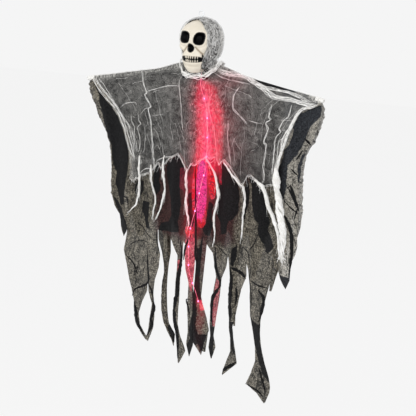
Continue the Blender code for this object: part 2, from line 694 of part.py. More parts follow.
def make_hood(parent):
    """Gauze over crown, sides and back of the skull, open at the face."""
    bm = bmesh.new()
    angles = angle_steps(math.radians(-180), math.radians(180), HOOD_COLUMNS)[:-1]
    rows = []
    for share in HOOD_ROW_shares:
        row = []
        for angle in angles:
            fold = HOOD_FOLD * math.cos(HOOD_FOLDS * angle) * smooth_share(share / CROWN_SHARE)
            outset = HOOD_THICKNESS / 2 + HOOD_CLEARANCE + HOOD_FOLD + fold
            point = skull_point(angle, max(share, CROWN_HOLE_SHARE), -outset)
            if share == 0.0:
                point = Vector((HOOD_CROWN_HOLE * math.sin(angle), -HOOD_CROWN_HOLE * math.cos(angle),
                                -CROWN_DROP + outset))
            row.append(point)
        rows.append(row)

    def covered(r, c):
        middle = (angles[c] + angles[(c + 1) % len(angles)]) / 2 if c + 1 < len(angles) else math.radians(175)
        return abs(middle) > HOOD_OPEN_ANGLE or HOOD_ROW_shares[r] < HOOD_BROW_SHARE

    grid(bm, rows, covered, close=True)
    hood = mesh_object("hood", bm, MATERIALS["hood_gauze"], parent)
    thicken(hood, HOOD_THICKNESS, 0.0)


def make_hanging_eye(parent):
    """Clear loop of stiff line: a shank down into the crown and a ring round the origin."""
    stop_top = -CROWN_DROP - SKULL_WALL - EYE_STOP_CLEARANCE
    points = [Vector((0, 0, stop_top - EYE_STOP_LENGTH)), Vector((0, 0, stop_top - EYE_WIRE_RADIUS)),
              Vector((0, 0, stop_top))]
    gap_angle = 2 * EYE_WIRE_RADIUS / EYE_RING_RADIUS
    sweep = math.radians(360) - gap_angle - math.radians(12)
    for k in range(EYE_RING_SEGMENTS + 1):
        angle = sweep * k / EYE_RING_SEGMENTS
        points.append(Vector((EYE_RING_RADIUS * math.sin(angle), 0, -EYE_RING_RADIUS * math.cos(angle))))
    radii = [EYE_STOP_RADIUS, EYE_STOP_RADIUS] + [EYE_WIRE_RADIUS] * (len(points) - 2)
    wire_object("hanging_eye", points, radii, MATERIALS["clear"], parent)


# Neck, shoulders and arms

def make_neck_post(parent):
    bm = bmesh.new()
    flange_z = base_plate_bottom() + BASE_THICKNESS + GAP
    foot_z = -SHOULDER_DROP + HUB_TOP - POST_SEAT_DEPTH + GAP
    add_cone(bm, POST_RADIUS, POST_RADIUS, flange_z - foot_z + POST_FLANGE_THICKNESS / 2,
             upright(0, 0, foot_z), segments=24)
    post = mesh_object("neck_post", bm, MATERIALS["dark_plastic"], parent)
    flange = bmesh.new()
    add_cone(flange, POST_FLANGE_RADIUS, POST_FLANGE_RADIUS, POST_FLANGE_THICKNESS,
             upright(0, 0, flange_z), segments=24)
    combine(post, cutter("post_flange", flange), "UNION")


def make_shoulder_hub(parent):
    middle = -SHOULDER_DROP
    bm = bmesh.new()
    add_box(bm, (-HUB_HALF_LENGTH, -HUB_HALF_DEPTH, middle - HUB_BOTTOM),
            (HUB_HALF_LENGTH, HUB_HALF_DEPTH, middle + HUB_TOP))
    hub = mesh_object("shoulder_hub", bm, MATERIALS["dark_plastic"], parent, smooth=False)
    tongue = bmesh.new()
    add_box(tongue, (-TONGUE_HALF_WIDTH, HUB_HALF_DEPTH - TONGUE_THICKNESS, -BOX_DROP - TONGUE_OVERLAP),
            (TONGUE_HALF_WIDTH, HUB_HALF_DEPTH, middle))
    combine(hub, cutter("hub_tongue", tongue), "UNION")
    core = bmesh.new()
    core_radius = POST_RADIUS + SKULL_WALL * 2
    add_cone(core, core_radius, core_radius, HUB_TOP + HUB_BOTTOM, upright(0, 0, middle - HUB_BOTTOM),
             segments=24)
    combine(hub, cutter("hub_core", core), "UNION")
    for side, name in ((-1, "left"), (1, "right")):
        slot = bmesh.new()
        inner = side * HUB_CORE_HALF_LENGTH
        outer = side * (HUB_HALF_LENGTH + OVERRUN)
        add_box(slot, (min(inner, outer), -SLOT_HALF_WIDTH, middle - HUB_BOTTOM - OVERRUN),
                (max(inner, outer), SLOT_HALF_WIDTH, middle + HUB_TOP + OVERRUN))
        combine(hub, cutter(name + "_slot", slot), "DIFFERENCE")
        hole = bmesh.new()
        radius = PIN_RADIUS + GAP
        add_cone(hole, radius, radius, 2 * (HUB_HALF_DEPTH + OVERRUN),
                 along_y(side * SHOULDER_X, -HUB_HALF_DEPTH - OVERRUN, middle), segments=16)
        combine(hub, cutter(name + "_pin_hole", hole), "DIFFERENCE")
        pin = bmesh.new()
        add_cone(pin, PIN_RADIUS, PIN_RADIUS, PIN_LENGTH, along_y(side * SHOULDER_X, -PIN_LENGTH / 2, middle),
                 segments=16)
        mesh_object(name + "_shoulder_pin", pin, MATERIALS["steel"], parent)
    seat = bmesh.new()
    radius = POST_RADIUS + GAP
    add_cone(seat, radius, radius, POST_SEAT_DEPTH + OVERRUN,
             upright(0, 0, middle + HUB_TOP - POST_SEAT_DEPTH), segments=24)
    combine(hub, cutter("post_seat", seat), "DIFFERENCE")
    hole = bmesh.new()
    radius = SCREW_SHANK_RADIUS + GAP
    back = HUB_HALF_DEPTH - SCREW_LENGTH + BOX_WALL
    add_cone(hole, radius, radius, TONGUE_THICKNESS, along_y(0, back, -SCREW_DROP),
             segments=14)
    combine(hub, cutter("tongue_hole", hole), "DIFFERENCE")


def arm_frame(side):
    """Frame at the shoulder whose +X runs out along the arm rod."""
    turn = Matrix.Rotation(DROOP, 4, "Y")
    flip = Matrix.Rotation(math.radians(180), 4, "Z") if side < 0 else Matrix.Identity(4)
    return Matrix.Translation((side * SHOULDER_X, 0, -SHOULDER_DROP)) @ flip @ turn


def along_arm(side, distance):
    """Frame at a distance along the arm, with its Z axis along the rod."""
    return arm_frame(side) @ Matrix.Translation((distance, 0, 0)) @ Matrix.Rotation(math.radians(90), 4, "Y")


def make_arm(side, name, parent):
    socket = bmesh.new()
    half = SLOT_HALF_WIDTH - GAP
    add_cone(socket, SOCKET_EYE_RADIUS, SOCKET_EYE_RADIUS, 2 * half,
             along_y(side * SHOULDER_X, -half, -SHOULDER_DROP))
    body = mesh_object(name + "_rod_socket", socket, MATERIALS["dark_plastic"], parent)
    barrel_start = HUB_HALF_LENGTH - SHOULDER_X + 2 * GAP
    neck = bmesh.new()
    add_box(neck, (0, -half, -half), (barrel_start + 2 * OVERRUN, half, half))
    bmesh.ops.transform(neck, matrix=arm_frame(side), verts=neck.verts)
    combine(body, cutter(name + "_socket_neck", neck), "UNION")
    barrel = bmesh.new()
    add_cone(barrel, SOCKET_BARREL_RADIUS, SOCKET_BARREL_RADIUS, SOCKET_BARREL_LENGTH,
             along_arm(side, barrel_start + OVERRUN))
    combine(body, cutter(name + "_socket_barrel", barrel), "UNION")
    barrel_end = barrel_start + OVERRUN + SOCKET_BARREL_LENGTH
    bore = bmesh.new()
    bore_radius = ROD_RADIUS + GAP
    add_cone(bore, bore_radius, bore_radius, SOCKET_BORE_DEPTH + OVERRUN,
             along_arm(side, barrel_end - SOCKET_BORE_DEPTH))
    combine(body, cutter(name + "_socket_bore", bore), "DIFFERENCE")
    eye = bmesh.new()
    eye_radius = PIN_RADIUS + RUNNING_GAP
    add_cone(eye, eye_radius, eye_radius, 2 * (half + OVERRUN),
             along_y(side * SHOULDER_X, -half - OVERRUN, -SHOULDER_DROP), segments=16)
    combine(body, cutter(name + "_socket_eye", eye), "DIFFERENCE")

    rod_start = barrel_end - SOCKET_BORE_DEPTH + GAP
    rod = bmesh.new()
    add_cone(rod, ROD_RADIUS, ROD_RADIUS, ARM_REACH - rod_start, along_arm(side, rod_start), segments=14)
    mesh_object(name + "_arm_rod", rod, MATERIALS["steel"], parent)

    cap = bmesh.new()
    bmesh.ops.create_uvsphere(cap, u_segments=14, v_segments=8, radius=CAP_RADIUS,
                              matrix=along_arm(side, ARM_REACH))
    cap_body = mesh_object(name + "_rod_cap", cap, MATERIALS["dark_plastic"], parent)
    hole = bmesh.new()
    add_cone(hole, bore_radius, bore_radius, CAP_BORE_DEPTH + GAP,
             along_arm(side, ARM_REACH - CAP_BORE_DEPTH), segments=14)
    combine(cap_body, cutter(name + "_cap_bore", hole), "DIFFERENCE")

    ring = []
    ring_radius = ROD_RADIUS + GAP + TIE_WIDTH
    frame = along_arm(side, ARM_REACH - TIE_INSET)
    tie = bmesh.new()
    for k in range(16):
        around = Matrix.Rotation(math.radians(360) * k / 16, 4, "Z")
        section = []
        for m in range(8):
            turn = math.radians(360) * m / 8
            spot = Vector((ring_radius + TIE_WIDTH * math.cos(turn), 0, TIE_WIDTH * math.sin(turn)))
            section.append(tie.verts.new(frame @ (around @ spot)))
        ring.append(section)
    for k in range(16):
        for m in range(8):
            a, b = ring[k], ring[(k + 1) % 16]
            tie.faces.new((a[m], a[(m + 1) % 8], b[(m + 1) % 8], b[m]))
    bmesh.ops.recalc_face_normals(tie, faces=tie.faces)
    mesh_object(name + "_wrist_tie", tie, MATERIALS["cheesecloth"], parent)


# Battery box

def box_front():
    return HUB_HALF_DEPTH + GAP


def make_battery_box(parent):
    front = box_front()
    back = front + BOX_DEPTH
    top = -BOX_DROP
    bottom = top - BOX_HEIGHT
    inner = BOX_HALF_WIDTH - BOX_SIDE_WALL
    groove_high = back - GROOVE_SETBACK
    groove_low = groove_high - GROOVE_WIDTH
    bm = bmesh.new()
    add_box(bm, (-BOX_HALF_WIDTH, front, bottom), (BOX_HALF_WIDTH, back, top))
    box = mesh_object("battery_box", bm, MATERIALS["dark_plastic"], parent, smooth=False)
    cavity = bmesh.new()
    add_box(cavity, (-inner, front + BOX_WALL, bottom + BOX_WALL), (inner, back + OVERRUN, top - BOX_WALL))
    combine(box, cutter("box_cavity", cavity), "DIFFERENCE")
    groove = bmesh.new()
    add_box(groove, (-inner - GROOVE_DEPTH, groove_low, bottom - OVERRUN),
            (inner + GROOVE_DEPTH, groove_high, top - BOX_WALL))
    combine(box, cutter("lid_groove", groove), "DIFFERENCE")
    way_out = bmesh.new()
    add_box(way_out, (-inner, groove_low + GAP, bottom - OVERRUN),
            (inner, back + OVERRUN, bottom + 2 * BOX_WALL))
    combine(box, cutter("lid_way_out", way_out), "DIFFERENCE")
    slot = bmesh.new()
    switch_y = front + BOX_DEPTH / 2
    slot_low = -SWITCH_DROP - KNOB_HALF_HEIGHT - SWITCH_TRAVEL - GAP
    slot_high = -SWITCH_DROP + KNOB_HALF_HEIGHT + GAP
    add_box(slot, (inner - OVERRUN, switch_y - KNOB_HALF_DEPTH - GAP, slot_low),
            (BOX_HALF_WIDTH + OVERRUN, switch_y + KNOB_HALF_DEPTH + GAP, slot_high))
    combine(box, cutter("switch_slot", slot), "DIFFERENCE")
    hole = bmesh.new()
    radius = SCREW_SHANK_RADIUS + GAP
    add_cone(hole, radius, radius, BOX_WALL + 2 * OVERRUN,
             along_y(0, front - OVERRUN, -SCREW_DROP), segments=14)
    combine(box, cutter("box_screw_hole", hole), "DIFFERENCE")
    lead = bmesh.new()
    radius = WIRE_RADIUS + GAP
    add_cone(lead, radius, radius, BOX_WALL + 2 * OVERRUN,
             upright(GROMMET_X, grommet_y(), top - BOX_WALL - OVERRUN), segments=12)
    combine(box, cutter("lead_hole", lead), "DIFFERENCE")


def grommet_y():
    return WIRE_NECK_ROUTE[0][1]


def make_box_screw(parent):
    bm = bmesh.new()
    inside = box_front() + BOX_WALL
    add_cone(bm, SCREW_SHANK_RADIUS, SCREW_SHANK_RADIUS, SCREW_LENGTH,
             along_y(0, inside + GAP - SCREW_LENGTH + SCREW_HEAD_HEIGHT / 2, -SCREW_DROP), segments=14)
    screw = mesh_object("box_screw", bm, MATERIALS["steel"], parent)
    head = bmesh.new()
    add_cone(head, SCREW_HEAD_RADIUS, SCREW_HEAD_RADIUS, SCREW_HEAD_HEIGHT,
             along_y(0, inside + GAP, -SCREW_DROP), segments=14)
    combine(screw, cutter("screw_head", head), "UNION")


def make_battery_lid(parent):
    inner = BOX_HALF_WIDTH - BOX_SIDE_WALL
    back = box_front() + BOX_DEPTH
    middle = back - GROOVE_SETBACK - GROOVE_WIDTH / 2
    top = -BOX_DROP - BOX_WALL - GAP
    bottom = -BOX_DROP - BOX_HEIGHT
    half = inner + GROOVE_DEPTH - GAP
    bm = bmesh.new()
    add_box(bm, (-half, middle - LID_THICKNESS / 2, bottom), (half, middle + LID_THICKNESS / 2, top))
    lid = mesh_object("battery_lid", bm, MATERIALS["dark_plastic"], parent, smooth=False)
    ridge = bmesh.new()
    add_box(ridge, (-LID_RIDGE_HALF_WIDTH, middle, bottom + LID_RIDGE_INSET),
            (LID_RIDGE_HALF_WIDTH, middle + LID_THICKNESS / 2 + LID_RIDGE_HEIGHT,
             bottom + LID_RIDGE_INSET + LID_RIDGE_HEIGHT))
    combine(lid, cutter("lid_ridge", ridge), "UNION")


def make_cells_and_contacts(parent):
    """Two cells side by side, one up and one down, each between a plate and a spring."""
    cell_y = box_front() + BOX_WALL + GAP + CELL_RADIUS
    cell_x = CELL_RADIUS + GAP
    high = -BOX_DROP - BOX_WALL - GAP
    low = -BOX_DROP - BOX_HEIGHT + BOX_WALL + GAP
    for side, name in ((-1, "left"), (1, "right")):
        plate_at_top = side < 0
        plate_high = high if plate_at_top else low + CONTACT_THICKNESS
        plate_low = plate_high - CONTACT_THICKNESS
        bm = bmesh.new()
        add_box(bm, (side * cell_x - CONTACT_HALF_WIDTH, cell_y - CONTACT_HALF_WIDTH, plate_low),
                (side * cell_x + CONTACT_HALF_WIDTH, cell_y + CONTACT_HALF_WIDTH, plate_high))
        mesh_object(name + "_contact_plate", bm, MATERIALS["steel"], parent, smooth=False)

        nub_end = plate_low - GAP if plate_at_top else plate_high + GAP
        inward = -1 if plate_at_top else 1
        body_near = nub_end + inward * CELL_NUB_HEIGHT
        body_far = body_near + inward * (CELL_LENGTH - CELL_NUB_HEIGHT)
        cell = bmesh.new()
        add_cone(cell, CELL_RADIUS, CELL_RADIUS, abs(body_far - body_near),
                 upright(side * cell_x, cell_y, min(body_near, body_far)), segments=24)
        cell_body = mesh_object(name + "_cell", cell, MATERIALS["cell"], parent)
        nub = bmesh.new()
        nub_inner = body_near + inward * CELL_NUB_HEIGHT
        add_cone(nub, CELL_NUB_RADIUS, CELL_NUB_RADIUS, abs(nub_inner - nub_end),
                 upright(side * cell_x, cell_y, min(nub_inner, nub_end)), segments=16)
        combine(cell_body, cutter(name + "_cell_nub", nub), "UNION")

        spring_wall = low if plate_at_top else high
        start = body_far + inward * (SPRING_WIRE_RADIUS + GAP)
        end = spring_wall - inward * SPRING_WIRE_RADIUS
        points = []
        steps = SPRING_TURNS * SPRING_TURN_POINTS
        for k in range(steps + 1):
            turn = math.radians(360) * k / SPRING_TURN_POINTS
            rise = smooth_share((k / steps - 0.1) / 0.8)
            points.append(Vector((side * cell_x + SPRING_RADIUS * math.cos(turn),
                                  cell_y + SPRING_RADIUS * math.sin(turn), start + (end - start) * rise)))
        wire_object(name + "_contact_spring", points, [SPRING_WIRE_RADIUS] * len(points), MATERIALS["steel"],
                    parent, resolution=1)


def make_switch_knob(parent):
    switch_y = box_front() + BOX_DEPTH / 2
    inner = BOX_HALF_WIDTH - BOX_SIDE_WALL
    bm = bmesh.new()
    add_box(bm, (inner - GAP - KNOB_FLANGE / 2, switch_y - KNOB_HALF_DEPTH, -SWITCH_DROP - KNOB_HALF_HEIGHT),
            (BOX_HALF_WIDTH + KNOB_STAND_OUT, switch_y + KNOB_HALF_DEPTH, -SWITCH_DROP + KNOB_HALF_HEIGHT))
    knob = mesh_object("switch_knob", bm, MATERIALS["steel"], parent, smooth=False)
    flange = bmesh.new()
    half = KNOB_HALF_DEPTH + KNOB_FLANGE
    tall = KNOB_HALF_HEIGHT + KNOB_FLANGE
    add_box(flange, (inner - GAP - KNOB_FLANGE, switch_y - half, -SWITCH_DROP - tall),
            (inner - GAP, switch_y + half, -SWITCH_DROP + tall))
    combine(knob, cutter("knob_flange", flange), "UNION")


def make_grommet(parent):
    bm = bmesh.new()
    add_cone(bm, GROMMET_BASE_RADIUS, GROMMET_TIP_RADIUS, GROMMET_HEIGHT,
             upright(GROMMET_X, grommet_y(), -BOX_DROP + GAP), segments=16)
    grommet = mesh_object("cord_grommet", bm, MATERIALS["dark_plastic"], parent)
    bore = bmesh.new()
    radius = WIRE_RADIUS + GAP
    add_cone(bore, radius, radius, GROMMET_HEIGHT + 2 * OVERRUN,
             upright(GROMMET_X, grommet_y(), -BOX_DROP - OVERRUN), segments=12)
    combine(grommet, cutter("grommet_bore", bore), "DIFFERENCE")


# Cloth

def rod_line(x):
    """Height of the rod's axis below a point of the shoulder line."""
    return -SHOULDER_DROP - max(0.0, abs(x) - SHOULDER_X) * math.tan(DROOP)


def rise_over(x, standoff):
    """Height of a sheet's ridge over the rod's axis, which is also its radius round the rod."""
    share = smooth_share((abs(x) - HUB_RISE_END) / (ROD_RISE_START - HUB_RISE_END))
    return HUB_RISE + (ROD_RISE - HUB_RISE) * share + standoff


def fold_wave(x, drop, front):
    calm = smooth_share((abs(x) - FOLD_CALM_HALF_WIDTH / 2) / FOLD_CALM_HALF_WIDTH)
    grow = smooth_share((drop - FOLD_START) / (FOLD_FULL - FOLD_START))
    phase = 0.0 if front else FOLD_BACK_TURN
    return FOLD_HEIGHT * calm * grow * math.sin(math.radians(360) * x / FOLD_LENGTH + phase)


def stand_out(x, drop, standoff, front=True):
    """Distance of a sheet from the plane of the rods at a drop below its ridge."""
    radius = rise_over(x, standoff)
    if drop < radius:
        return math.sqrt(max(0.0, radius * radius - (radius - drop) ** 2))
    below = drop - radius
    across = abs(x) / CLOTH_HALF_SPAN
    spread = SPREAD_CENTRE + (SPREAD_TIP - SPREAD_CENTRE) * smooth_share(across)
    off_robe = 0.0
    if standoff:
        off_robe = GAUZE_CENTRE_GAP * (1 - smooth_share(abs(x) / FOLD_CALM_HALF_WIDTH / 2))
    lower_gap = GAUZE_LOWER_GAP * smooth_share(below / GAUZE_LOWER_GAP_DROP) if standoff else 0.0
    lower = LOWER_SPREAD * smooth_share(below / DRESS_LENGTH * 2)
    eased = smooth_share(below / SPREAD_DROP / 2 + 0.5) * 2 - 1
    return radius + (spread + off_robe) * eased + lower + lower_gap + fold_wave(x, below, front)


def cloth_point(x, z, standoff, front=True):
    ridge = rod_line(x) + rise_over(x, standoff)
    reach = stand_out(x, max(0.0, ridge - z), standoff, front)
    return Vector((x, -reach if front else reach, z))


def ridge_point(x, standoff, turn, front):
    """A point on the round part of the sheet over the rod, by its turn from the top."""
    radius = rise_over(x, standoff)
    reach = radius * math.sin(turn)
    return Vector((x, -reach if front else reach, rod_line(x) + radius * math.cos(turn)))


def edge_share(table, z):
    return table_value(table, (-z - COLLAR_LINE_DROP) / DRESS_LENGTH)


def strip_of(strips, column):
    for strip in strips:
        if strip[0] <= column <= strip[1]:
            return strip
    return strips[-1]


def robe_rows(side, strips, front):
    """Rows of one face of the robe, from the round part over the rod down to the strip tips."""
    rows = []
    top_shares = [k / ROBE_COLUMNS for k in range(ROBE_COLUMNS + 1)]
    for turn in (math.radians(45), math.radians(90)):
        rows.append([ridge_point(side * (SEAM_GAP / 2 + share * CLOTH_HALF_SPAN), 0.0, turn, front)
                     for share in top_shares])
    for r in range(1, ROBE_PANEL_ROWS + 1):
        row = []
        for column, share in enumerate(top_shares):
            strip = strip_of(strips, column)
            root_z = -COLLAR_LINE_DROP - strip[2] * DRESS_LENGTH
            start_z = rod_line(share * CLOTH_HALF_SPAN)
            fall = (r / ROBE_PANEL_ROWS) ** 1.3
            z = start_z + (root_z - start_z) * fall
            panel_x = share * CLOTH_HALF_SPAN * edge_share(ROBE_EDGE_shares, z)
            strip_x = strip_column_x(strip, column, 0)
            x = panel_x + (strip_x - panel_x) * smooth_share(fall - 0.2) * 0.8
            row.append(cloth_point(side * (SEAM_GAP / 2 + x), z, 0.0, front))
        rows.append(row)
    for station in range(ROBE_STRIP_ROWS):
        row = []
        for column in range(len(top_shares)):
            strip = strip_of(strips, column)
            z = -COLLAR_LINE_DROP - max(strip[3][station][0], strip[2] + (station + 1) * 0.01) * DRESS_LENGTH
            x = strip_column_x(strip, column, station)
            row.append(cloth_point(side * (SEAM_GAP / 2 + x), z, 0.0, front))
        rows.append(row)
    return rows


def strip_column_x(strip, column, station):
    first, last = strip[0], strip[1]
    centre, width = strip[3][station][1], strip[3][station][2]
    along = (column - first) / (last - first) - 0.5
    return max(0.0, centre + along * width) * CLOTH_HALF_SPAN


def make_robe_half(side, name, front_strips, back_strips, parent):
    front_rows = robe_rows(side, front_strips, True)
    back_rows = robe_rows(side, back_strips, False)
    top = [ridge_point(side * (SEAM_GAP / 2 + k / ROBE_COLUMNS * CLOTH_HALF_SPAN), 0.0, 0.0, True)
           for k in range(ROBE_COLUMNS + 1)]
    rows = list(reversed(front_rows)) + [top] + back_rows
    ridge_row = len(front_rows)
    neck_column = round(NECK_OPENING / CLOTH_HALF_SPAN * ROBE_COLUMNS)

    def kept(r, c):
        from_ridge = r - ridge_row
        if from_ridge < 0:
            depth = -from_ridge - 1
            strips = front_strips
        else:
            depth = from_ridge
            strips = back_strips
        if c < neck_column and depth < 3:
            return False
        in_gap = strip_of(strips, c) is not strip_of(strips, c + 1)
        return not (in_gap and depth >= ROBE_PANEL_ROWS + 2)

    bm = bmesh.new()
    grid(bm, rows, kept)
    robe = mesh_object(name, bm, MATERIALS["sheer_black"], parent)
    thicken(robe, CLOTH_THICKNESS, 0.0)
    return robe


def gauze_rows(side, edge_table, hem_table, front):
    rows = []
    shares = [k / GAUZE_COLUMNS for k in range(GAUZE_COLUMNS + 1)]
    width = CLOTH_HALF_SPAN * edge_table[0][1]
    for turn in (math.radians(45), math.radians(90)):
        rows.append([ridge_point(side * (SEAM_GAP / 2 + share * width), GAUZE_STANDOFF, turn, front)
                     for share in shares])
    for r in range(1, GAUZE_PANEL_ROWS + 1):
        row = []
        for share in shares:
            hem_z = -COLLAR_LINE_DROP - table_value(hem_table, share) * DRESS_LENGTH
            start_z = rod_line(share * width)
            z = start_z + (hem_z - start_z) * (r / GAUZE_PANEL_ROWS) ** 1.2
            x = share * CLOTH_HALF_SPAN * edge_share(edge_table, z)
            row.append(cloth_point(side * (SEAM_GAP / 2 + x), z, GAUZE_STANDOFF, front))
        rows.append(row)
    return rows


def make_gauze_half(side, name, edge_table, hem_table, parent):
    front_rows = gauze_rows(side, edge_table, hem_table, True)
    back_rows = gauze_rows(side, edge_table, hem_table, False)
    width = CLOTH_HALF_SPAN * edge_table[0][1]
    top = [ridge_point(side * (SEAM_GAP / 2 + k / GAUZE_COLUMNS * width), GAUZE_STANDOFF, 0.0, True)
           for k in range(GAUZE_COLUMNS + 1)]
    rows = list(reversed(front_rows)) + [top] + back_rows
    ridge_row = len(front_rows)
    neck_column = round(NECK_OPENING / width * GAUZE_COLUMNS)

    def kept(r, c):
        from_ridge = r - ridge_row
        depth = -from_ridge - 1 if from_ridge < 0 else from_ridge
        return not (c < neck_column and depth < 3)

    bm = bmesh.new()
    grid(bm, rows, kept)
    gauze = mesh_object(name, bm, MATERIALS["cheesecloth"], parent)
    thicken(gauze, CLOTH_THICKNESS, 0.0)
    return gauze


def front_of(trees, x, z):
    """Front face of the sheets at a place, seen from the front, with its normal."""
    found = None
    for tree in trees:
        hit = tree.ray_cast(Vector((x, -CLOTH_HALF_SPAN, z)), Vector((0, 1, 0)), CLOTH_HALF_SPAN)
        if hit[0] is not None and (found is None or hit[0].y < found[0].y):
            found = hit
    return found


def nearest_face(trees, spot):
    """Foremost cloth near a place: there, a little above and to either side."""
    faces = []
    for aside in (-STRAND_LOOK_ASIDE, 0.0, STRAND_LOOK_ASIDE):
        for up in (0.0, STRAND_LOOK_UP):
            found = front_of(trees, spot.x + aside, spot.z + up)
            if found is not None:
                faces.append(found[0].y)
    return min(faces) if faces else None


def make_strands(parent, sheets):
    """Bunched strands hanging from the poncho hem, in front of the robe."""
    bpy.context.view_layer.update()
    depsgraph = bpy.context.evaluated_depsgraph_get()
    trees = [BVHTree.FromObject(sheet, depsgraph) for sheet in sheets]
    for name, full_radius, route in STRANDS:
        flat = [Vector((across * CLOTH_HALF_SPAN, 0, -COLLAR_LINE_DROP - down * DRESS_LENGTH))
                for across, down in route]
        even, length = smooth_route(flat, None)
        count = STRAND_POINTS * STRAND_LOOKS
        spots = [even(length * k / count) for k in range(count + 1)]
        faces = [nearest_face(trees, spot) for spot in spots]
        placed = []
        radii = []
        for k in range(STRAND_POINTS + 1):
            share = k / STRAND_POINTS
            radius = full_radius * (1 + (STRAND_TIP_SHARE - 1) * share ** 1.5)
            middle = k * STRAND_LOOKS
            spot = spots[middle]
            around = faces[max(0, middle - STRAND_LOOKS):middle + STRAND_LOOKS + 1]
            seen = [face for face in around if face is not None]
            if k == 0:
                found = front_of(trees, spot.x, spot.z)
                spot = found[0] + found[1] * (radius + GAP)
            else:
                spot.y = min(seen) - radius - STRAND_CLEARANCE if seen else placed[-1].y
            placed.append(spot)
            radii.append(radius)
        wire_object(name, placed, radii, MATERIALS["cheesecloth"], parent, resolution=1)


def tie_point(turn):
    """Centre of the neck tie, which lies on the poncho all the way round the neck."""
    x = NECK_TIE_HALF_SPAN * math.sin(turn)
    front = math.cos(turn) > 0
    drop = NECK_TIE_DROP * (1 - math.sin(turn) ** 4) + GAP
    step = GAP
    here = stand_out(x, drop, GAUZE_STANDOFF, front)
    slope = (stand_out(x, drop + step, GAUZE_STANDOFF, front) - here) / step
    outward = Vector((0, 1, slope)).normalized()
    margin = NECK_TIE_RADIUS + CLOTH_THICKNESS / 2 + NECK_TIE_CLEARANCE
    margin += NECK_TIE_SIDE_LIFT * math.sin(turn) ** 4
    ridge = rod_line(x) + rise_over(x, GAUZE_STANDOFF)
    facing = -1 if front else 1
    reach = here + outward.y * margin
    return Vector((x, facing * reach, ridge - drop + outward.z * margin))


def make_neck_tie(parent):
    centres = [tie_point(math.radians(360) * (k + 0.5) / NECK_TIE_POINTS) for k in range(NECK_TIE_POINTS)]
    bm = bmesh.new()
    rings = []
    for k, centre in enumerate(centres):
        ahead = centres[(k + 1) % NECK_TIE_POINTS] - centres[k - 1]
        across = ahead.cross(Vector((0, 0, 1))).normalized()
        up = across.cross(ahead).normalized()
        rings.append([bm.verts.new(centre + NECK_TIE_RADIUS * (across * math.cos(t) + up * math.sin(t)))
                      for t in angle_steps(0.0, math.radians(315), 7)])
    for k in range(NECK_TIE_POINTS):
        a, b = rings[k], rings[(k + 1) % NECK_TIE_POINTS]
        for m in range(8):
            bm.faces.new((a[m], a[(m + 1) % 8], b[(m + 1) % 8], b[m]))
    bmesh.ops.recalc_face_normals(bm, faces=bm.faces)
    mesh_object("neck_tie", bm, MATERIALS["cheesecloth"], parent)


def make_light_string(parent):
    """One wire from the grommet over the hub and down the chest, swelling at each lamp."""
    route = [Vector((x, y, height - SHOULDER_DROP)) for x, y, height in WIRE_NECK_ROUTE]
    route[0].z = -BOX_DROP + GROMMET_HEIGHT + 2 * GAP
    for x, drop in WIRE_FRONT_ROUTE:
        spot = cloth_point(x, -SHOULDER_DROP - drop, 0.0)
        route.append(spot + Vector((0, -WIRE_STANDOFF, 0)))
    at, length = smooth_route(route, None)
    stations = [(0.0, WIRE_RADIUS)]
    lead_points = 9
    for k in range(1, lead_points):
        stations.append((LEAD_TO_FIRST_LAMP * k / lead_points, WIRE_RADIUS))
    for lamp in range(LAMP_COUNT):
        middle = LEAD_TO_FIRST_LAMP + lamp * LAMP_PITCH
        stations.append((middle - LAMP_HALF_LENGTH, WIRE_RADIUS))
        stations.append((middle - LAMP_HALF_LENGTH / 2, LAMP_RADIUS))
        stations.append((middle + LAMP_HALF_LENGTH / 2, LAMP_RADIUS))
        stations.append((middle + LAMP_HALF_LENGTH, WIRE_RADIUS))
        if lamp < LAMP_COUNT - 1:
            stations.append((middle + LAMP_PITCH / 2, WIRE_RADIUS))
    points = [at(distance) for distance, radius in stations]
    radii = [radius for distance, radius in stations]
    wire_object("light_string", points, radii, MATERIALS["lamp_red"], parent)
    used = stations[-1][0]
    print("light string", round(used * PRINT_SCALE_MM, 1), "mm of a route of",
          round(length * PRINT_SCALE_MM, 1), "mm")


def body_empty(name, position, parent=None):
    empty = bpy.data.objects.new(name, None)
    PARTS.objects.link(empty)
    empty.location = position
    if parent is not None:
        empty.parent = parent
        empty.matrix_parent_inverse = parent.matrix_world.inverted()
    bpy.context.view_layer.update()
    return empty


def make_materials():
    return {
        "ivory": material("ivory_plastic", IVORY, 0.45),
        "gloss_black": material("gloss_black", GLOSS_BLACK, 0.12),
        "sheer_black": material("sheer_black_gauze", SHEER_BLACK, 0.85),
        "cheesecloth": material("cheesecloth", CHEESECLOTH, 0.90),
        "hood_gauze": material("hood_gauze", HOOD_GREY, 0.90),
        "steel": material("steel", STEEL, 0.30, 1.0),
        "dark_plastic": material("dark_plastic", BOX_BLACK, 0.45),
        "cell": material("cell_jacket", CELL_GREEN, 0.35),
        "lamp_red": material("lamp_red", LAMP_RED, 0.25),
        "clear": material("clear_line", CLEAR, 0.10),
    }


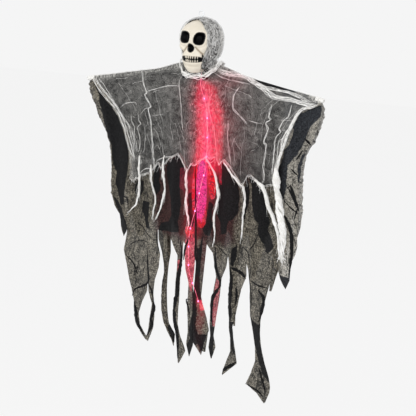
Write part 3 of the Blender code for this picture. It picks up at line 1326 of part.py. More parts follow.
def main():
    head = body_empty("head_body", (0, 0, 0))
    torso = body_empty("torso_body", (0, 0, -SHOULDER_DROP), head)
    left_arm = body_empty("left_arm_body", (-SHOULDER_X, 0, -SHOULDER_DROP), torso)
    right_arm = body_empty("right_arm_body", (SHOULDER_X, 0, -SHOULDER_DROP), torso)
    knob = body_empty("switch_body", (BOX_HALF_WIDTH, box_front() + BOX_DEPTH / 2, -SWITCH_DROP), torso)
    lid = body_empty("lid_body", (0, box_front() + BOX_DEPTH, -BOX_DROP), torso)

    make_hanging_eye(head)
    make_skull_face(head)
    make_skull_back(head)
    make_mouth(head)
    make_skull_base(head)
    make_hood(head)
    make_neck_post(torso)
    make_shoulder_hub(torso)
    make_arm(-1, "left", left_arm)
    make_arm(1, "right", right_arm)
    make_battery_box(torso)
    make_box_screw(torso)
    make_cells_and_contacts(torso)
    make_battery_lid(lid)
    make_switch_knob(knob)
    make_grommet(torso)
    make_light_string(torso)
    sheets = [
        make_robe_half(-1, "robe_left", ROBE_FRONT_LEFT_shares, ROBE_BACK_LEFT_shares, torso),
        make_robe_half(1, "robe_right", ROBE_FRONT_RIGHT_shares, ROBE_BACK_RIGHT_shares, torso),
        make_gauze_half(-1, "poncho_left", GAUZE_LEFT_EDGE_shares, GAUZE_LEFT_HEM_shares, torso),
        make_gauze_half(1, "poncho_right", GAUZE_RIGHT_EDGE_shares, GAUZE_RIGHT_HEM_shares, torso),
    ]
    make_strands(torso, sheets)
    make_neck_tie(torso)


clear_scene()
PARTS = new_collection(COLLECTION_NAME)
CUTTERS = new_collection(CUTTER_COLLECTION_NAME)
MATERIALS = make_materials()
main()
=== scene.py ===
"""Hanging ghost decoration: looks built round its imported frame."""

import math

import bpy
from bpy.props import FloatProperty, FloatVectorProperty, IntProperty, PointerProperty
from bpy.types import Operator, Panel, PropertyGroup
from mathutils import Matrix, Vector, noise


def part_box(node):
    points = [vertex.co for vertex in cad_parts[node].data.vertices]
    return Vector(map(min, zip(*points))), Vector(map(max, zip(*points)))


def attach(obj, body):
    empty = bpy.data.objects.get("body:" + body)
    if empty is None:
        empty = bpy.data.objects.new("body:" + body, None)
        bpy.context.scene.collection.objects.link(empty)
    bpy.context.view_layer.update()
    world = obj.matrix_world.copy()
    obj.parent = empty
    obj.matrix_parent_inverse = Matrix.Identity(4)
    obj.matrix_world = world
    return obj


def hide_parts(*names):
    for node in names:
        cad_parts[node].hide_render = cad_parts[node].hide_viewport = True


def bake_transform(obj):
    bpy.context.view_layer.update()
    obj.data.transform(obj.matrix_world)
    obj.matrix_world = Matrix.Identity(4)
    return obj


bl_info = {
    "name": "Hanging Ghost Decoration",
    "version": (1, 0, 0),
    "blender": (4, 5, 0),
    "location": "3D View > Sidebar > Ghost",
    "description": "Builds the gauze, skull and lights of a hanging ghost on its frame",
    "category": "Add Mesh",
}

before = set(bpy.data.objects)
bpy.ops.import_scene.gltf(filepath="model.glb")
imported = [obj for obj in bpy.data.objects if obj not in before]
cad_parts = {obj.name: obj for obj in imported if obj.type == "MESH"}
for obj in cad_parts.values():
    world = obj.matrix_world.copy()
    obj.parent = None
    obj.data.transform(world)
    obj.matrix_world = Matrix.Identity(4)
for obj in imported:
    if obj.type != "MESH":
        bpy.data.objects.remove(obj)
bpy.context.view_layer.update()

# Sizes of the frame, in metres
SKULL_CROWN_DROP = 0.0135
SKULL_HEIGHT = 0.129
SKULL_WIDTH = 0.096
SKULL_FRONT = 0.058
SKULL_BACK = 0.055
CROWN_SHARE = 0.40
BASE_SHARE = 0.69
CHIN_ANGLE = math.radians(57)
SKULL_LEVELS = (
    (0.40, 1.00, 1.00, 1.00), (0.50, 0.97, 0.95, 0.97), (0.60, 0.93, 0.98, 0.88), (0.70, 0.86, 1.01, 0.74),
    (0.80, 0.77, 1.00, 0.66), (0.90, 0.66, 0.97, 0.62), (1.00, 0.47, 0.87, 0.58),
)
HOOD_OPENING = (
    (0.014, 0, 0), (0.020, 20, 16), (0.030, 44, 24), (0.050, 56, 31), (0.085, 64, 38), (0.16, 68, 44),
    (0.25, 68, 47.5), (0.36, 68, 47.5), (0.50, 68, 45), (0.62, 70, 42.5), (0.70, 72, 41), (0.80, 74, 39),
    (0.88, 74, 39), (1.0, 70, 40),
)

# Openings of the face: side, place across, place down, half width, half height
EYES = ((-1, -0.0198, 0.0412, 0.0180, 0.0148), (1, 0.0198, 0.0428, 0.0128, 0.0158))
EYE_LEAN = math.radians(8)
NOSE_DROP = 0.0655
MOUTH_SHARES = (0.668, 0.792)
MOUTH_HALF = 0.0265
MOUTH_CORNERS = ((-1, 0.0318, 0.680, 0.0056, 0.0150), (1, 0.0268, 0.715, 0.0030, 0.0110))

# Rods and cloth, in metres
SHOULDER_X = 0.030
SHOULDER_DROP = 0.136
DROOP = math.radians(10.4)
HALF_SPAN = 0.3150
COLLAR_DROP = 0.130
DRESS_LENGTH = 0.876
ROD_RISE = 0.0035
HUB_RISE = 0.0125
GAUZE_STANDOFF = 0.0021
SEAM = 0.0003
CLOTH_COLUMNS = 19  # of a half of the robe, between which its ribbons are cut
ROD_ROW, ROOT_ROW, TIP_ROW = 2, 7, 11  # rows of the robe below the rod, at the ribbons' roots and their tips
FACE_STANDOFF = 0.00045  # of the moulded face from the frame's
HOOD_STANDOFF = 0.0028
FULL_TURN = math.radians(360)
HALF_TURN = math.radians(180)
QUARTER_TURN = math.radians(90)
WHITE = (1.0, 1.0, 1.0)

# Outlines of the cloth in millimetres: height and reach from the middle
ROBE_EDGES = {
    "left": ((-190, 330), (-210, 334), (-236, 326), (-262, 315), (-294, 296), (-325, 280), (-365, 273), (-392, 268),
             (-422, 264), (-446, 257), (-462, 258), (-487, 267), (-498, 267), (-600, 258)),
    "right": ((-190, 332), (-210, 338), (-233, 338), (-249, 333), (-269, 327), (-287, 321), (-306, 312), (-328, 296),
              (-353, 291), (-391, 285), (-417, 282), (-443, 281), (-476, 282), (-600, 276)),
}
GAUZE_EDGES = {
    "left": ((-190, 324), (-200, 314), (-228, 284), (-266, 256), (-313, 219), (-342, 209), (-368, 203), (-448, 200)),
    "right": ((-190, 334), (-199, 330), (-207, 316), (-224, 286), (-256, 269), (-302, 256), (-321, 242), (-347, 236),
              (-375, 227), (-414, 224)),
}
GAUZE_HEMS = {
    "left": ((0, -384), (5, -382), (12, -398), (20, -397), (32, -375), (42, -360), (67, -373), (86, -391), (98, -399),
             (104, -410), (110, -393), (121, -409), (136, -423), (155, -432), (173, -436), (176, -447), (184, -445),
             (190, -456), (200, -446)),
    "right": ((0, -384), (7, -383), (21, -372), (37, -357), (45, -364), (54, -359), (59, -360), (69, -378), (77, -367),
              (86, -363), (100, -377), (112, -397), (123, -419), (125, -426), (134, -421), (142, -402), (156, -398),
              (170, -407), (183, -425), (190, -431), (194, -421), (215, -418), (224, -401)),
}

# Ribbons of the robe: first and last column, then height, inner and outer edge in millimetres
ROBE_RIBBONS = {
    "left": (
        ((0, 2, ((-599, -3, 25), (-633, -2, 29), (-667, 1, 27), (-701, 5, 18), (-735, 3, 20), (-769, 4, 23),
                 (-803, 4, 21), (-837, 4, 21), (-871, 5, 26), (-905, 16, 18))),
         (3, 5, ((-593, 33, 66), (-631, 36, 49), (-668, 41, 51), (-705, 43, 55), (-742, 45, 57), (-780, 48, 60),
                 (-817, 50, 60), (-854, 43, 55), (-891, 28, 52), (-929, 47, 50))),
         (6, 7, ((-577, 84, 104), (-594, 87, 102), (-612, 88, 101), (-629, 91, 101), (-656, 95, 100))),
         (8, 11, ((-574, 116, 145), (-609, 116, 146), (-643, 111, 147), (-677, 115, 148), (-711, 125, 147),
                  (-745, 129, 146), (-779, 128, 134), (-813, 127, 140), (-847, 131, 147), (-868, 139, 152),
                  (-881, 146, 162), (-889, 150, 160))),
         (12, 14, ((-574, 145, 209), (-609, 145, 215), (-644, 145, 224), (-678, 146, 215), (-713, 147, 209),
                   (-747, 151, 202), (-782, 173, 196), (-816, 184, 193), (-851, 181, 186), (-868, 170, 182),
                   (-881, 152, 173), (-888, 155, 163))),
         (15, 19, ((-495, 200, 267), (-507, 200, 264), (-519, 200, 261), (-531, 200, 252), (-544, 201, 242),
                   (-556, 203, 239), (-568, 205, 237), (-580, 208, 236), (-592, 214, 232), (-605, 222, 223)))),
        ((0, 3, ((-568, 0, 45), (-604, 5, 42), (-673, 13, 38), (-769, 24, 46), (-866, 3, 44), (-918, 11, 27))),
         (4, 6, ((-550, 60, 104), (-568, 69, 101), (-577, 72, 98), (-586, 77, 93), (-603, 82, 88))),
         (7, 9, ((-568, 106, 146), (-617, 108, 145), (-649, 108, 132), (-682, 113, 126), (-715, 116, 125),
                 (-748, 118, 131), (-781, 118, 136), (-813, 117, 137), (-846, 114, 129), (-879, 100, 112),
                 (-912, 102, 103))),
         (10, 14, ((-533, 160, 229), (-550, 164, 227), (-568, 170, 220), (-586, 180, 211), (-612, 189, 202))),
         (15, 19, ((-480, 249, 280), (-533, 247, 272), (-577, 238, 250), (-621, 226, 232)))),
    ),
    "right": (
        ((0, 1, ((-572, 7, 25), (-608, 6, 22), (-644, 5, 18), (-680, 2, 15), (-716, -2, 16), (-751, -6, 23),
                 (-787, -9, 35), (-823, -9, 42), (-859, -10, 28), (-895, 18, 19))),
         (2, 4, ((-612, 51, 97), (-644, 55, 92), (-676, 59, 77), (-708, 53, 73), (-741, 49, 68), (-773, 45, 62),
                 (-805, 43, 57), (-837, 45, 53), (-869, 40, 58), (-901, 46, 48))),
         (5, 7, ((-633, 99, 140), (-667, 101, 140), (-701, 103, 127), (-735, 102, 121), (-770, 100, 115),
                 (-804, 99, 108), (-838, 103, 110), (-872, 103, 114), (-906, 90, 118), (-940, 78, 82))),
         (8, 12, ((-648, 145, 210), (-688, 151, 203), (-728, 151, 194), (-768, 153, 186), (-808, 163, 184),
                  (-849, 171, 187), (-889, 172, 194), (-929, 156, 204), (-960, 140, 209), (-976, 176, 207),
                  (-1004, 194, 197))),
         (13, 15, ((-586, 209, 232), (-603, 209, 232), (-612, 213, 228), (-621, 215, 226), (-634, 218, 223))),
         (16, 19, ((-476, 228, 282), (-499, 228, 281), (-522, 228, 279), (-545, 228, 279), (-568, 228, 280),
                   (-590, 228, 276), (-613, 228, 266), (-636, 227, 265), (-659, 236, 264), (-682, 253, 254)))),
        ((0, 3, ((-568, 0, 54), (-588, 6, 50), (-603, 12, 47), (-629, 22, 41), (-656, 28, 35))),
         (4, 6, ((-586, 66, 107), (-638, 62, 92), (-708, 66, 84), (-778, 68, 80), (-831, 72, 78))),
         (7, 10, ((-568, 124, 173), (-594, 129, 170), (-621, 132, 160), (-656, 132, 148), (-691, 134, 140))),
         (11, 15, ((-550, 198, 243), (-586, 198, 238), (-629, 196, 220), (-664, 192, 208), (-708, 190, 196))),
         (16, 19, ((-480, 258, 283), (-524, 258, 278), (-559, 255, 268), (-594, 252, 258)))),
    ),
}

# Places where the robe lies folded double, as outlines across and up in millimetres
FOLDED = (
    ((-309, -214), (-301, -233), (-299, -252), (-292, -272), (-284, -301), (-276, -335), (-266, -365), (-265, -392),
     (-261, -421), (-250, -439), (-256, -465), (-245, -496), (-237, -524), (-221, -520), (-221, -490), (-215, -459),
     (-208, -423), (-205, -383), (-212, -340), (-228, -306), (-268, -257), (-305, -216)),
    ((-190, -458), (-180, -449), (-162, -450), (-164, -474), (-174, -492), (-188, -488), (-193, -472)),
    ((-127, -413), (-116, -397), (-111, -423), (-113, -447), (-118, -480), (-130, -475)),
    ((-130, -453), (-110, -452), (-113, -474), (-123, -482), (-129, -475)),
    ((-189, -463), (-169, -461), (-172, -483), (-180, -490), (-191, -483)),
    ((-167, -502), (-139, -499), (-141, -523), (-145, -549), (-139, -574), (-152, -573), (-161, -543), (-172, -531)),
    ((-88, -393), (-48, -362), (-30, -390), (-24, -405), (-39, -420), (-43, -452), (-40, -494), (-43, -519),
     (-48, -536), (-45, -566), (-117, -577), (-108, -555), (-81, -544), (-66, -525), (-70, -479), (-71, -474),
     (-80, -447), (-90, -420)),
    ((-20, -460), (3, -450), (2, -517), (-6, -554), (-14, -555), (-18, -509)),
    ((40, -474), (53, -477), (50, -501), (47, -523), (52, -537), (44, -565), (31, -568), (19, -533), (37, -516)),
    ((72, -377), (82, -367), (95, -381), (120, -428), (122, -456), (119, -498), (108, -515), (96, -522), (91, -553),
     (74, -561), (72, -530), (59, -506), (64, -464), (70, -416)),
    ((139, -406), (152, -402), (169, -411), (190, -436), (194, -467), (204, -516), (199, -532), (205, -552),
     (216, -580), (199, -599), (193, -594), (197, -581), (182, -560), (174, -533), (178, -519), (165, -508),
     (156, -471), (155, -422)),
    ((139, -406), (149, -436), (145, -476), (135, -504), (127, -536), (129, -478), (131, -438)),
    ((106, -595), (117, -580), (117, -615), (108, -639), (102, -637)),
    ((353, -198), (332, -203), (283, -227), (268, -255), (256, -308), (243, -322), (236, -349), (223, -377),
     (225, -415), (228, -466), (235, -470), (248, -433), (252, -410), (246, -463), (249, -423), (254, -359),
     (273, -335), (288, -310), (302, -272), (311, -256), (337, -228), (351, -205)),
    ((296, -325), (298, -328), (290, -358), (283, -396), (281, -413), (276, -399), (277, -361), (286, -333)),
    ((228, -648), (260, -650), (264, -608), (267, -623), (266, -659), (254, -681), (238, -667)),
    ((152, -769), (168, -782), (179, -787), (191, -778), (185, -800), (184, -832), (192, -877), (209, -942),
     (208, -951), (190, -925), (180, -885), (166, -819)),
    ((99, -791), (110, -791), (111, -859), (117, -896), (112, -888), (102, -851)),
    ((44, -814), (55, -813), (54, -856), (52, -883), (64, -889), (47, -905), (37, -898), (43, -861)),
    ((2, -578), (11, -605), (19, -586), (25, -568), (23, -632), (27, -661), (15, -710), (19, -731), (17, -757),
     (11, -736), (3, -741), (7, -770), (3, -815), (9, -840), (40, -835), (44, -845), (31, -866), (19, -894),
     (11, -865), (-7, -876), (-11, -899), (-28, -898), (-27, -876), (-15, -855), (-19, -829), (-7, -783), (-7, -731),
     (-1, -687), (1, -650)),
    ((-265, -502), (-253, -509), (-231, -532), (-223, -550), (-214, -570), (-208, -584), (-222, -604), (-235, -579),
     (-241, -558), (-247, -541)),
)
FOLDED_BACK = (((-118, -849), (-97, -865), (-95, -884), (-103, -907), (-115, -865)),)

# Places where the lights lie against the cloth: tint from red to magenta, strength, outline in millimetres
LIT_PLACES = (
    (1.0, 1.00, ((11, -377), (24, -368), (33, -379), (34, -405), (35, -445), (34, -484), (28, -512), (20, -529),
                 (6, -528), (1, -507), (0, -475), (4, -449), (5, -422), (8, -396))),
    (0.0, 0.95, ((39, -377), (53, -397), (61, -412), (58, -433), (56, -465), (46, -471), (41, -445), (39, -405))),
    (0.0, 0.85, ((11, -377), (8, -396), (5, -422), (4, -449), (0, -475), (1, -507), (-5, -505), (-8, -463),
                 (-6, -423), (0, -383))),
    (0.0, 0.80, ((8, -529), (20, -529), (29, -512), (34, -488), (35, -510), (33, -535), (22, -548), (10, -545))),
    (0.0, 0.95, ((-25, -548), (-3, -548), (-1, -566), (-16, -579), (-29, -565))),
    (0.2, 0.80, ((13, -744), (27, -744), (30, -768), (16, -774))),
    (0.1, 0.90, ((-19, -667), (-7, -665), (-5, -681), (-16, -685))),
    (0.3, 0.14, ((-42, -396), (-22, -392), (-14, -440), (-26, -462), (-44, -448))),
    (0.1, 0.45, ((66, -378), (76, -378), (75, -430), (68, -425))),
    (0.30, 0.54, ((-26, -582), (2, -578), (0, -636), (3, -664), (-5, -687), (-11, -725), (-19, -700), (-29, -669),
                  (-30, -626))),
    (0.30, 0.36, ((70, -689), (60, -680), (52, -735), (49, -775), (50, -812), (57, -812), (66, -752), (70, -714))),
    (0.20, 0.45, ((-49, -642), (-38, -641), (-39, -678), (-46, -689), (-50, -671))),
)

# Creases of the robe: width, then places across and up in millimetres
CREASES = {
    "left": (
        (3.0, ((-217, -656), (-199, -673), (-192, -691), (-196, -714))),
        (2.2, ((-182, -668), (-186, -691), (-193, -717), (-191, -740))),
        (5.0, ((-150, -620), (-148, -675), (-146, -719), (-175, -742), (-193, -751), (-200, -770))),
        (7.0, ((-195, -785), (-192, -811), (-187, -849), (-167, -880))),
        (5.0, ((-149, -723), (-135, -742), (-131, -764))),
        (8.0, ((-131, -764), (-129, -794), (-138, -822), (-136, -840), (-155, -876))),
        (2.0, ((-209, -632), (-185, -616), (-139, -610))),
        (2.0, ((-197, -558), (-162, -579), (-124, -605))),
        (2.2, ((-120, -572), (-119, -605), (-111, -641))),
        (8.0, ((-42, -591), (-38, -627), (-49, -701), (-51, -737), (-56, -756), (-59, -805), (-52, -841), (-50, -871),
               (-50, -916))),
        (5.0, ((-10, -569), (-26, -603), (-33, -641))),
        (4.5, ((2, -521), (4, -578), (2, -621), (7, -649), (3, -708))),
        (4.0, ((-15, -747), (-25, -749), (-19, -770), (-15, -799))),
        (3.0, ((-237, -494), (-211, -500), (-208, -518))),
    ),
    "right": (
        (7.0, ((234, -467), (256, -505), (266, -538), (267, -589), (263, -639))),
        (5.5, ((185, -689), (180, -697), (192, -716), (187, -756), (179, -785))),
        (3.5, ((182, -905), (191, -942), (197, -971), (196, -987))),
        (4.0, ((139, -961), (174, -968), (184, -975), (193, -987))),
        (7.0, ((102, -643), (105, -674), (102, -722), (102, -795))),
        (6.5, ((117, -901), (104, -912), (88, -923), (81, -935))),
        (6.5, ((57, -595), (59, -650), (72, -692), (52, -731), (48, -775), (50, -811))),
        (4.0, ((116, -695), (117, -723), (113, -746))),
        (6.5, ((103, -643), (123, -655), (139, -674))),
        (2.2, ((55, -587), (100, -615))),
        (2.2, ((126, -584), (146, -606), (151, -640))),
        (3.0, ((149, -672), (187, -685), (200, -689))),
        (2.2, ((145, -598), (166, -573), (178, -544))),
        (2.5, ((244, -449), (281, -485))),
        (5.5, ((256, -417), (270, -443), (282, -477))),
        (2.5, ((271, -500), (280, -466))),
        (2.5, ((252, -421), (263, -409))),
        (5.0, ((261, -409), (275, -453))),
        (3.0, ((262, -368), (278, -386))),
        (5.0, ((292, -291), (312, -304))),
        (3.0, ((273, -346), (288, -320))),
        (3.0, ((156, -631), (151, -671), (157, -717), (155, -758))),
    ),
}
BACK_CREASES = {
    "left": ((8.0, ((-133, -641), (-120, -691), (-129, -745), (-132, -799), (-126, -835), (-103, -903))),),
    "right": (),
}
STRAND_ROUTES = (
    (0.0048, ((-.538, .285), (-.541, .349), (-.573, .427), (-.620, .452), (-.670, .468))),
    (0.0040, ((-.405, .305), (-.400, .365), (-.379, .409), (-.395, .440), (-.414, .474))),
    (0.0045, ((-.285, .272), (-.290, .330), (-.287, .378), (-.330, .430), (-.381, .478))),
    (0.0048, ((-.040, .300), (-.060, .360), (-.070, .409), (-.045, .460), (-.060, .486))),
    (0.0056, ((.119, .258), (.200, .300), (.223, .370), (.181, .438), (.188, .493), (.172, .532))),
    (0.0050, ((.278, .268), (.400, .320), (.443, .346), (.430, .410), (.421, .440), (.404, .516))),
    (0.0080, ((.560, .310), (.627, .334), (.662, .390), (.695, .428), (.740, .480), (.752, .540))),
    (0.0125, ((.720, .270), (.730, .321), (.750, .370), (.772, .424), (.788, .470), (.785, .530))),
)

# Route of the light string, in metres: behind the neck, over the hub, then down the chest
STRING_NECK = (
    (0.0100, 0.0160, -0.1524), (0.0110, 0.0155, -0.1330), (0.0120, 0.0120, -0.1262), (0.0125, 0.0020, -0.1238),
    (0.0120, -0.0090, -0.1246), (0.0118, -0.0165, -0.1290), (0.0122, -0.0205, -0.1370),
    (0.0138, -0.0255, -0.1460), (0.0160, -0.0312, -0.1560),
)
STRING_CHEST = (
    (0.0175, -0.172), (0.0205, -0.188), (0.029, -0.212), (0.035, -0.240), (0.037, -0.294), (0.036, -0.335),
    (0.032, -0.390), (0.023, -0.424), (0.006, -0.494), (-0.011, -0.557), (-0.016, -0.615), (-0.014, -0.671),
    (0.006, -0.725), (0.019, -0.770),
)
STRING_LENGTH = 0.6966
FIRST_LAMP = 0.094
LAMP_PITCH = 0.050
LAMP_COUNT = 13
STRING_SIDES = 10

# Studio: place, size and power of its lights, then the camera
STUDIO_LIGHTS = (
    ("key", (1.1, -2.6, 1.6), 1.6, 62.0),
    ("fill", (-2.4, -1.6, 0.5), 2.0, 30.0),
    ("rim", (0.6, 2.4, 1.2), 1.4, 26.0),
)
LIGHTS_AIM = (0.0, 0.0, -0.45)
CAMERA_PLACE = (1.841, -3.428, 0.5365)
CAMERA_AIM = (0.0274, -0.0168, -0.4988)
CAMERA_LENS = 134.2
FLOOR_HALF = 6.0
FLOOR_LEVEL = -1.45

# Pulled threads of the poncho in millimetres across and up, with how many run together and their thickness
PULLED_THREADS = {
    "left": (
        (3, 0.75, ((-176, -150), (-156, -189), (-146, -211), (-152, -217), (-132, -244), (-139, -252), (-131, -282),
                   (-125, -353), (-121, -401), (-122, -417))),
        (2, 0.65, ((-146, -211), (-130, -202), (-77, -185), (-42, -181))),
        (2, 0.55, ((-38, -159), (-41, -176), (-36, -227), (-30, -294))),
        (2, 0.60, ((-227, -257), (-213, -246), (-188, -240), (-179, -246))),
        (2, 0.55, ((-196, -277), (-194, -291), (-187, -309), (-189, -328), (-182, -354), (-179, -372))),
        (2, 0.60, ((-176, -271), (-175, -289), (-168, -296), (-179, -308), (-172, -332), (-171, -350), (-176, -372))),
        (1, 0.55, ((-153, -301), (-149, -327), (-153, -357), (-160, -372))),
        (1, 0.60, ((-135, -246), (-152, -254), (-168, -272))),
        (3, 0.75, ((-322, -190), (-305, -209), (-275, -238), (-239, -272), (-215, -308), (-207, -339), (-197, -373),
                   (-189, -386))),
        (3, 0.70, ((-316, -190), (-300, -204), (-269, -229), (-242, -259), (-215, -292), (-201, -333), (-192, -368),
                   (-187, -394))),
        (2, 0.65, ((-310, -184), (-305, -197), (-282, -217), (-258, -244), (-242, -261), (-207, -294), (-194, -317),
                   (-189, -341), (-182, -373))),
        (2, 0.60, ((-306, -186), (-276, -211), (-248, -249), (-227, -270), (-204, -299), (-199, -317), (-192, -346),
                   (-187, -373))),
        (1, 0.60, ((-209, -339), (-199, -333), (-189, -317))),
        (2, 0.60, ((-184, -416), (-165, -397), (-176, -388))),
        (2, 0.70, ((-173, -432), (-165, -421), (-139, -408), (-122, -409))),
        (2, 0.65, ((-117, -392), (-112, -384), (-91, -374), (-49, -362))),
        (1, 0.60, ((-117, -392), (-98, -409), (-104, -425))),
        (2, 0.65, ((-17, -405), (-8, -385), (2, -374))),
    ),
    "right": (
        (2, 0.55, ((54, -189), (44, -220), (49, -256), (56, -286), (61, -327), (64, -361))),
        (2, 0.55, ((39, -225), (40, -261), (42, -312), (42, -338), (37, -359))),
        (2, 0.60, ((48, -145), (85, -157), (116, -162), (143, -166))),
        (3, 0.75, ((120, -173), (108, -196), (107, -223), (114, -236), (141, -265))),
        (2, 0.60, ((147, -256), (169, -258), (186, -258))),
        (3, 0.80, ((209, -209), (201, -239), (205, -249), (194, -258), (199, -273), (190, -306), (195, -316),
                   (191, -367), (192, -395), (189, -411))),
        (3, 0.80, ((261, -206), (255, -234), (242, -247), (229, -270), (234, -277), (219, -293), (214, -333),
                   (210, -390))),
        (8, 1.10, ((325, -204), (284, -222), (257, -274), (245, -310), (229, -354), (221, -394))),
        (5, 0.95, ((310, -205), (281, -220), (259, -261), (241, -293), (236, -322), (223, -363), (218, -407))),
        (2, 0.70, ((297, -204), (278, -223), (266, -249), (250, -285), (228, -303), (223, -345), (212, -392))),
        (2, 0.60, ((96, -257), (98, -277), (96, -290), (100, -333), (105, -369))),
        (8, 1.00, ((59, -137), (88, -146), (126, -149), (151, -160), (182, -174), (216, -190), (251, -193),
                   (294, -202), (320, -204))),
        (6, 0.95, ((151, -161), (185, -170), (218, -175), (247, -178), (281, -188), (308, -198))),
        (3, 0.75, ((54, -136), (95, -140), (123, -146), (145, -158))),
        (2, 0.70, ((178, -179), (213, -196), (239, -197), (271, -201), (297, -204))),
        (2, 0.65, ((10, -374), (32, -362), (45, -372), (61, -361))),
        (2, 0.70, ((90, -367), (105, -390), (125, -428))),
        (2, 0.65, ((152, -402), (173, -408), (186, -424))),
    ),
}

BASE_COLOURS = {
    "ivory": (0.75, 0.69, 0.585),
    "cheesecloth": (0.92, 0.90, 0.85),
    "glow": (0.86, 0.022, 0.060),
    "core": (0.90, 0.060, 0.24),
}


class GhostSizes(PropertyGroup):
    """Sizes that change the dressing, and not the frame."""

    fold_share: FloatProperty(name="Folded Edge", description="Share of a back ribbon's width that is turned over",
                              default=0.30, min=0.1, max=0.6, subtype="FACTOR")
    ragged: FloatProperty(name="Ragged Edge", description="How far a torn edge wanders",
                          default=0.0032, min=0.0, max=0.010, unit="LENGTH")
    wrinkle: FloatProperty(name="Wrinkle", description="Height of the fine wrinkles in the cloth",
                           default=0.0011, min=0.0, max=0.0020, unit="LENGTH")
    thread: FloatProperty(name="Loose Thread", description="Radius of a single loose thread",
                          default=0.00032, min=0.0001, max=0.001, unit="LENGTH")
    loose_threads: IntProperty(name="Loose Threads", description="Number of fine threads on each half of the poncho",
                               default=26, min=0, max=200)
    seed: IntProperty(name="Seed", description="Choice of the tears and loose threads", default=7, min=0, max=999)


class GhostColours(PropertyGroup):
    """Colours of the ghost's finishes."""

    ivory: FloatVectorProperty(name="Skull", description="Ivory plastic of the skull", subtype="COLOR",
                               default=BASE_COLOURS["ivory"], min=0.0, max=1.0)
    cheesecloth: FloatVectorProperty(name="Poncho", description="Threads of the pale gauze", subtype="COLOR",
                                     default=BASE_COLOURS["cheesecloth"], min=0.0, max=1.0)
    glow: FloatVectorProperty(name="Glow", description="Light of the string through the cloth", subtype="COLOR",
                              default=BASE_COLOURS["glow"], min=0.0, max=1.0)
    core: FloatVectorProperty(name="Glow Core", description="Light next to the lamps", subtype="COLOR",
                              default=BASE_COLOURS["core"], min=0.0, max=1.0)


# Small helpers

def smooth_share(value):
    """A share from 0 to 1 that starts and ends gently."""
    held = min(1.0, max(0.0, value))
    return held * held * (3 - 2 * held)


def table_value(table, key, column=1):
    """Value of a column of a table at a key between its rows."""
    if key <= table[0][0]:
        return table[0][column]
    for low, high in zip(table, table[1:]):
        if key <= high[0]:
            share = (key - low[0]) / (high[0] - low[0])
            return low[column] + (high[column] - low[column]) * share
    return table[-1][column]


def curve_point(a, b, c, d, t):
    """A point of the smooth curve from b to c."""
    return 0.5 * (2 * b + (c - a) * t + (2 * a - 5 * b + 4 * c - d) * t * t + (3 * b - a - 3 * c + d) * t * t * t)


def smooth_line(points, spacing):
    """Evenly spaced points of a smooth curve through the given points."""
    route = [Vector(p) for p in points]
    ends = [2 * route[0] - route[1]] + route + [2 * route[-1] - route[-2]]
    fine = []
    for a, b, c, d in zip(ends, ends[1:], ends[2:], ends[3:]):
        fine += [curve_point(a, b, c, d, k / 16) for k in range(16)]
    fine.append(route[-1])
    lengths = [0.0]
    for p, q in zip(fine, fine[1:]):
        lengths.append(lengths[-1] + (q - p).length)
    count = max(2, round(lengths[-1] / spacing))
    line, i = [], 0
    for k in range(count + 1):
        distance = lengths[-1] * k / count
        while i < len(fine) - 2 and lengths[i + 1] < distance:
            i += 1
        span = lengths[i + 1] - lengths[i]
        line.append(fine[i].lerp(fine[i + 1], (distance - lengths[i]) / span if span else 0.0))
    return line


def rough(x, y, z=0.0):
    """Smooth noise from -1 to 1."""
    return noise.noise(Vector((x, y, z)))


def chance(*keys):
    """A steady number from 0 to 1 for its keys."""
    first, second, third = (tuple(keys) + (0, 0))[:3]
    return 0.5 + 0.5 * noise.cell(Vector((first * 7.31 + 0.5, second * 3.17 + 0.5, third * 5.77 + 0.5)))


def make_mesh(name, points, faces, finish, maps=None, cloth_map=None, smooth=True):
    """A mesh object from points and faces, with named values and a cloth map on its points."""
    used = sorted({i for face in faces for i in face})
    place = {old: new for new, old in enumerate(used)}
    mesh = bpy.data.meshes.new(name)
    mesh.from_pydata([points[i] for i in used], [], [[place[i] for i in face] for face in faces])
    for key, values in (maps or {}).items():
        attribute = mesh.attributes.new(key, "FLOAT", "POINT")
        attribute.data.foreach_set("value", [values[i] for i in used])
    if cloth_map is not None:
        layer = mesh.uv_layers.new(name="cloth")
        corner = 0
        for face in faces:
            for i in face:
                layer.data[corner].uv = cloth_map[i]
                corner += 1
    mesh.update()
    if smooth:
        mesh.shade_smooth()
    obj = bpy.data.objects.new(name, mesh)
    bpy.context.scene.collection.objects.link(obj)
    mesh.materials.append(finish)
    return obj


def grid_faces(rows, columns, first=0):
    """Faces of a grid of points that starts at a number; rows and columns count its cells."""
    wide = columns + 1
    corners = [first + r * wide + c for r in range(rows) for c in range(columns)]
    return [(a, a + wide, a + wide + 1, a + 1) for a in corners]


def shares(count):
    """Even steps from 0 to 1."""
    return [i / (count - 1) for i in range(count)]


def facing(front):
    """Way out of a face of the cloth along Y."""
    return -1 if front else 1


